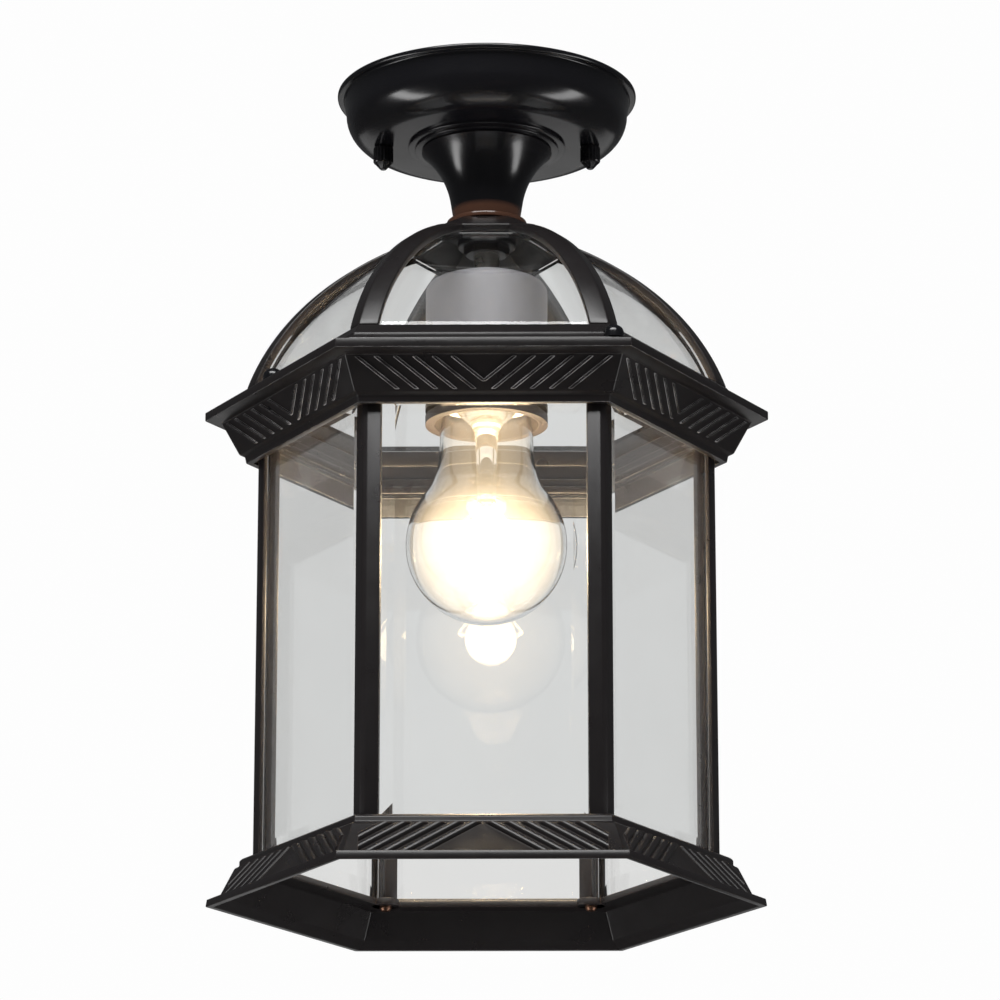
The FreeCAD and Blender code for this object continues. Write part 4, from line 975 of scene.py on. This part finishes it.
class LANTERN_OT_bottom_ring(bpy.types.Operator):
    """Cast bottom ring: collar, reeded skirt, lip, corner pads and the two back lugs"""
    bl_idname = "lantern.bottom_ring"
    bl_label = "Bottom ring"

    def execute(self, context):
        sizes = context.scene.lantern_bottom
        z_top = Z_SEAT + 0.0022
        z_slope = z_top - 0.003 - 0.0008
        z_lip = z_slope - sizes.slope_height
        wall = 0.0026
        z_floor = Z_SEAT - wall
        slant = (sizes.slope_low - sizes.slope_top) / sizes.slope_height
        floor_reach = sizes.slope_top + (z_slope - z_floor) * slant - wall
        bm = bmesh.new()
        six_sided(bm, [
            (sizes.collar, z_top), (sizes.foot, z_top - 0.001), (sizes.foot, z_top - 0.003),
            (sizes.slope_top, z_slope), (sizes.slope_low, z_lip), (sizes.lip - 0.0004, z_lip),
            (sizes.lip, Z_END), (sizes.lip - wall, Z_END), (sizes.slope_low - wall, z_lip),
            (floor_reach, z_floor), (LEDGE, z_floor), (LEDGE, Z_SEAT), (POST_SOCKET, Z_SEAT),
            (POST_SOCKET, z_top)])
        soften(bm, sizes.edge, 2, 20)
        join(bm, self.reeds(sizes, z_slope, z_lip))
        cage = context.scene.lantern_cage
        place = CAGE_CORNER - cage.depth + cage.boss
        pad, hole, pad_radius = bmesh.new(), 0.0013, 0.0054
        spun(pad, [(hole, z_floor), (pad_radius, z_floor), (pad_radius, Z_SEAT),
                   (hole, Z_SEAT)], 40)
        soften(pad, 0.0003)
        bmesh.ops.translate(pad, vec=(place, 0, 0), verts=pad.verts)
        round_copies(pad)
        join(bm, pad)
        lug_out = CAGE_CORNER - cage.depth - 0.0002
        lug, lug_half, lug_wall, lug_foot = bmesh.new(), 0.00275, 0.0018, Z_SEAT - 0.0005
        prism(lug, [(lug_out, -lug_half, lug_foot), (lug_out, lug_half, lug_foot),
                    (lug_out, lug_half, Z_SEAT + 0.033), (lug_out, -lug_half, Z_SEAT + 0.037)],
              (-lug_wall, 0, 0))
        soften(lug, 0.0003)
        for _ in range(2):
            rotate(lug, SIDE_TURN)
            join(bm, lug.copy())
        lug.free()
        finished(bm, "bottom_casting", "lantern", FINISH["satin"], ["bottom_ring"])
        return {"FINISHED"}

    def reeds(self, sizes, z_slope, z_lip):
        top, down, out, face_length = slope_frame(sizes, z_slope, z_lip)
        angle = math.radians(sizes.angle)
        width, sunk, inset = sizes.pitch * math.sin(angle) * 0.92, 0.0003, 0.0002
        radius = (width ** 2 / 4 + sizes.height ** 2) / (2 * sizes.height)
        lean = face_length / math.tan(angle)
        far = sizes.slope_top * math.tan(MITRE) - 0.0025
        reeds = bmesh.new()
        for side in (-1, 1):
            across = Vector((0, side, 0))
            course = across * math.cos(angle) + down * math.sin(angle)
            for index in range(sizes.reeds):
                middle = (top + across * ((index + 0.5) * sizes.pitch)
                          - out * (radius - sizes.height))
                reed = bmesh.new()
                rod(reed, radius, middle - course * lean, middle + course * lean * 2, 40)
                trim(reed, top - out * sunk, -out)
                trim(reed, top + down * inset, -down)
                trim(reed, top + down * (face_length - inset), down)
                trim(reed, top, -across)
                trim(reed, top + across * far, across)
                join(reeds, reed)
        rotate(reeds, SIDE_TURN / 2)
        round_copies(reeds)
        return reeds


class LANTERN_OT_lampholder(bpy.types.Operator):
    """Grey sleeve, its shade ring, the ceramic holder and the contacts"""
    bl_idname = "lantern.lampholder"
    bl_label = "Lampholder"

    def execute(self, context):
        dress(["socket_cup", "shade_ring"], FINISH["cup"])
        dress(["lampholder"], FINISH["ceramic"])
        dress(["screw_shell", "centre_contact"], FINISH["brass"])
        return {"FINISHED"}


class LANTERN_OT_lamp(bpy.types.Operator):
    """Clear lamp: glass envelope, screw cap, stem, filament, painted glare and its light"""
    bl_idname = "lantern.lamp"
    bl_label = "Lamp"

    def envelope(self, sizes, inset, join_angle=52.0):
        radius = sizes.envelope - inset
        centre = Z_LAMP_TIP + sizes.envelope
        angle = math.radians(join_angle)
        join_at = (radius * math.sin(angle), centre + radius * math.cos(angle))
        throat = (sizes.throat - inset, Z_LAMP_TOP - sizes.throat_drop)
        top = (sizes.cap - inset, Z_CAP_LOW)
        neck = sweep(top, (top[0] + 0.0004, top[1] - 0.0012),
                     (throat[0] - 0.0003, throat[1] + 0.0012), throat, 5)
        gap = throat[1] - join_at[1]
        handle = gap * 0.42
        flank = sweep(throat, (throat[0] + 0.0022, throat[1] - gap * 0.36),
                      (join_at[0] - math.cos(angle) * handle,
                       join_at[1] + math.sin(angle) * handle), join_at, 14)
        ball, runs = [], 28
        for index in range(1, runs):
            turned = angle + (math.pi - angle) * index / runs
            ball.append((radius * math.sin(turned), centre + radius * math.cos(turned)))
        return neck + flank[1:] + ball + [(0, centre - radius)]

    def execute(self, context):
        sizes = context.scene.lantern_lamp
        outer = self.envelope(sizes, 0.0)
        inner = self.envelope(sizes, sizes.wall)
        bm = bmesh.new()
        spun(bm, outer + list(reversed(inner)), 112)
        finished(bm, "lamp_envelope", "lamp", FINISH["bulb"], ["lamp_glass"])
        self.cap(sizes)
        self.stem(sizes)
        self.light(context, sizes)
        return {"FINISHED"}

    def cap(self, sizes):
        bm = bmesh.new()
        crest, button, shell = 0.0008, 0.0046, 0.0005
        shoulder, skirt_top = Z_LAMP_TOP - 0.003, Z_CAP_LOW + 0.003
        root = sizes.cap - crest
        outline = [(0, Z_LAMP_TOP), (button, Z_LAMP_TOP), (button + 0.001, Z_LAMP_TOP - 0.001),
                   (root - 0.0018, shoulder), (root, shoulder - 0.0016), (root, skirt_top + 0.001),
                   (sizes.cap, skirt_top + 0.0004), (sizes.cap, Z_CAP_LOW),
                   (sizes.cap - shell, Z_CAP_LOW), (sizes.cap - shell, skirt_top),
                   (root - shell, skirt_top + 0.0015), (root - shell, shoulder - 0.002),
                   (0, Z_LAMP_TOP - 0.002)]
        spun(bm, outline, 64, closed=False)
        thread, thread_low, sunk = bmesh.new(), Z_CAP_LOW + 0.0042, 0.00005
        pitch = sizes.thread_pitch
        ridge = pitch * 0.62
        turns, per_turn, runs = 4, 40, 6
        profile = [thread.verts.new((root + crest * math.sin(math.pi * i / runs) - sunk, 0,
                                     thread_low + ridge * i / runs))
                   for i in range(runs + 1)]
        edges = [thread.edges.new(pair) for pair in zip(profile, profile[1:] + profile[:1])]
        bmesh.ops.spin(thread, geom=profile + edges + [thread.faces.new(profile)],
                       cent=(0, 0, 0), axis=(0, 0, 1), dvec=(0, 0, pitch / per_turn),
                       angle=2 * math.pi * turns, steps=turns * per_turn)
        join(bm, thread)
        finished(bm, "lamp_screw_cap", "lamp", FINISH["aluminium"], ["lamp_cap"])

    def stem(self, sizes):
        top = Z_CAP_LOW
        stem_low, stem_radius = low("lamp_stem").z, 0.0036
        stem = bmesh.new()
        outline = [(0, top)] + sweep((0.0118, top), (0.0108, top - 0.005), (0.005, top - 0.004),
                                     (0.0042, top - 0.012), 10)
        outline += [(stem_radius, stem_low + 0.006)]
        outline += bend((stem_radius, stem_low + 0.003), (0.0042, stem_low), (0.0026, stem_low), 6)
        outline += [(0, stem_low)]
        spun(stem, outline, 40, closed=False)
        finished(stem, "lamp_glass_stem", "lamp", FINISH["bulb"], ["lamp_stem"])
        wires = bmesh.new()
        span, rise = 0.013, 0.0026
        low_z = stem_low - 0.013
        lead, support, filament, coil_radius = 0.0003, 0.00018, 0.00014, 0.0005
        for side in (-1, 1):
            rod(wires, lead, (side * 0.0022, 0, stem_low + 0.001), (side * span, 0, low_z), 8)
            rod(wires, support, (0, 0, stem_low + 0.0005),
                (side * span * 0.35, 0, low_z - rise * 0.8), 6)
        loops, per_loop = 60, 8
        steps = loops * per_loop
        path = []
        for index in range(steps + 1):
            along = 2 * index / steps - 1
            sag = rise * (1 - along ** 2)
            turned = 2 * math.pi * loops * index / steps
            path.append(Vector((span * along, coil_radius * math.cos(turned),
                                low_z - sag + coil_radius * math.sin(turned))))
        curve = bpy.data.curves.new("filament_line", "CURVE")
        curve.dimensions = "3D"
        spline = curve.splines.new("POLY")
        spline.points.add(len(path) - 1)
        for point, at in zip(spline.points, path):
            point.co = (*at, 1)
        curve.bevel_depth = filament
        curve.bevel_resolution = 1
        curve.use_fill_caps = True
        holder = bpy.data.objects.new("filament_line", curve)
        held = bpy.data.meshes.new_from_object(holder)
        wires.from_mesh(held)
        bpy.data.objects.remove(holder)
        bpy.data.curves.remove(curve)
        bpy.data.meshes.remove(held)
        finished(wires, "lamp_lit_filament", "lamp", FINISH["filament"],
                 ["lamp_filament"])

    def light(self, context, sizes):
        finishes = context.scene.lantern_finishes
        centre = Vector((0, 0, Z_LAMP_TIP + sizes.envelope))
        # Painted glare: a shell of emitting air inside the envelope, standing in for the lit lamp's
        # glare.
        glare_shell = bmesh.new()
        inside = self.envelope(sizes, sizes.wall + 0.0004)
        spun(glare_shell, [(0, inside[0][1])] + inside, 64, closed=False)
        air = painted_glare("painted_glare", finishes.lamp_light, centre, sizes.glare_reach, sizes.glare_strength,
                      sizes.glare_veil)
        finished(glare_shell, "lamp_painted_glare", "lamp", air)
        lamp = bpy.data.lights.new("lamp_light", "POINT")
        lamp.energy = sizes.power
        lamp.color = finishes.lamp_light
        lamp.shadow_soft_size = 0.011
        lamp_object = bpy.data.objects.new("lamp_light", lamp)
        lamp_object.location = centre
        context.scene.collection.objects.link(lamp_object)
        lamp_object.parent = frame["bodies"]["lamp"]


class LANTERN_OT_stage(bpy.types.Operator):
    """Pale floor, soft studio light and the camera"""
    bl_idname = "lantern.stage"
    bl_label = "Stage"

    def execute(self, context):
        sizes = context.scene.lantern_stage
        self.camera(context, sizes)
        self.world(context)
        self.floor(context, sizes)
        self.lights(context)
        context.scene.view_settings.view_transform = "Standard"
        context.scene.view_settings.look = "None"
        return {"FINISHED"}

    def camera(self, context, sizes):
        data = bpy.data.cameras.new("studio_camera")
        data.lens = sizes.lens
        data.sensor_width = 36.0
        data.clip_start = 0.01
        view = bpy.data.objects.new("studio_camera", data)
        view.location = sizes.place
        view.rotation_euler = (math.radians(90 + sizes.pitch), 0, math.radians(sizes.yaw))
        context.scene.collection.objects.link(view)
        context.scene.camera = view

    def world(self, context):
        world = bpy.data.worlds.new("white_room")
        context.scene.world = world
        world.use_nodes = True
        tree = world.node_tree
        tree.nodes.clear()
        rays = add(tree, "ShaderNodeLightPath").outputs
        shown = None
        for ray, shade, strength in ((None, (0.97, 0.98, 1.0), 0.32),
                                     ("Is Glossy Ray", (0.95, 0.97, 1.0), 0.07),
                                     ("Is Transmission Ray", (0.776, 0.768, 0.757), 1.0),
                                     ("Is Camera Ray", (1.0, 1.0, 1.0), 0.985)):
            light = add(tree, "ShaderNodeBackground", {"Color": (*shade, 1),
                                                       "Strength": strength})
            light = light.outputs["Background"]
            shown = either(tree, rays[ray], shown, light) if ray else light
        add(tree, "ShaderNodeOutputWorld", {"Surface": shown})

    def floor(self, context, sizes):
        mesh = bpy.data.meshes.new("studio_floor")
        bm = bmesh.new()
        bmesh.ops.create_grid(bm, x_segments=4, y_segments=4, size=40.0,
                              matrix=Matrix.Translation((0, 0, sizes.floor)))
        bm.to_mesh(mesh)
        bm.free()
        floor = bpy.data.objects.new("studio_floor", mesh)
        context.scene.collection.objects.link(floor)
        material, tree, where = blank_material("pale_floor")
        cloud = add(tree, "ShaderNodeTexNoise", {"Vector": where, "Scale": 3.0})
        tone = blended(tree, cloud.outputs["Fac"], (0.8, 0.8, 0.8, 1), (0.84, 0.84, 0.84, 1))
        surface = add(tree, "ShaderNodeBsdfPrincipled", {"Base Color": tone, "Roughness": 0.9})
        pale, dim = [add(tree, "ShaderNodeEmission", {"Color": tone, "Strength": strength})
                     for strength in (0.95, 0.06)]
        rays = add(tree, "ShaderNodeLightPath").outputs
        straight = calculated(tree, "MAXIMUM", rays["Is Camera Ray"],
                              rays["Is Transmission Ray"])
        lit = either(tree, rays["Is Glossy Ray"], surface.outputs["BSDF"],
                     dim.outputs["Emission"])
        shown = either(tree, straight, lit, pale.outputs["Emission"])
        side = add(tree, "ShaderNodeNewGeometry")
        unseen = add(tree, "ShaderNodeBsdfTransparent")
        above = either(tree, side.outputs["Backfacing"], shown, unseen.outputs["BSDF"])
        add(tree, "ShaderNodeOutputMaterial", {"Surface": above})
        mesh.materials.append(material)

    def lights(self, context):
        aim = Vector((0, 0, -0.16))
        for name, place, width, tall, power in (
                ("left_low_softbox", (-1.17, -0.22, -0.96), 0.34, 1.0, 8.0),
                ("right_low_softbox", (1.13, -0.2, -0.9), 0.34, 1.0, 6.6),
                ("front_high_softbox", (-0.2, -1.3, 1.15), 1.8, 0.7, 44.0),
                ("back_low_softbox", (0.0, 1.7, -0.55), 1.8, 0.5, 1.3)):
            data = bpy.data.lights.new(name, "AREA")
            data.shape = "RECTANGLE"
            data.size, data.size_y = width, tall
            data.energy = power
            light = bpy.data.objects.new(name, data)
            light.location = place
            light.rotation_euler = (aim - Vector(place)).to_track_quat("-Z", "Y").to_euler()
            light.visible_camera = False
            light.visible_transmission = False
            context.scene.collection.objects.link(light)


OPERATORS = (LANTERN_OT_stage, LANTERN_OT_canopy, LANTERN_OT_neck, LANTERN_OT_dome,
             LANTERN_OT_cornice, LANTERN_OT_cage, LANTERN_OT_bottom_ring,
             LANTERN_OT_lampholder, LANTERN_OT_lamp)


class LANTERN_PT_panel(bpy.types.Panel):
    """Lists the lantern's pieces"""
    bl_idname = "LANTERN_PT_panel"
    bl_label = "Lantern"
    bl_space_type = "VIEW_3D"
    bl_region_type = "UI"
    bl_category = "Lantern"

    def draw(self, context):
        for operator in OPERATORS:
            self.layout.operator(operator.bl_idname)
        for name, group in PROPERTY_GROUPS:
            box = self.layout.box()
            for key in group.__annotations__:
                box.prop(getattr(context.scene, name), key)


def register():
    for name, group in PROPERTY_GROUPS:
        bpy.utils.register_class(group)
        setattr(bpy.types.Scene, name, bpy.props.PointerProperty(type=group))
    for operator in OPERATORS:
        bpy.utils.register_class(operator)
    bpy.utils.register_class(LANTERN_PT_panel)


def unregister():
    bpy.utils.unregister_class(LANTERN_PT_panel)
    for operator in reversed(OPERATORS):
        bpy.utils.unregister_class(operator)
    for name, group in reversed(PROPERTY_GROUPS):
        delattr(bpy.types.Scene, name)
        bpy.utils.unregister_class(group)


def main():
    register()
    make_finishes(bpy.context.scene.lantern_finishes)
    for operator in OPERATORS:
        family, name = operator.bl_idname.split(".")
        getattr(getattr(bpy.ops, family), name)()


if __name__ == "__main__":
    main()
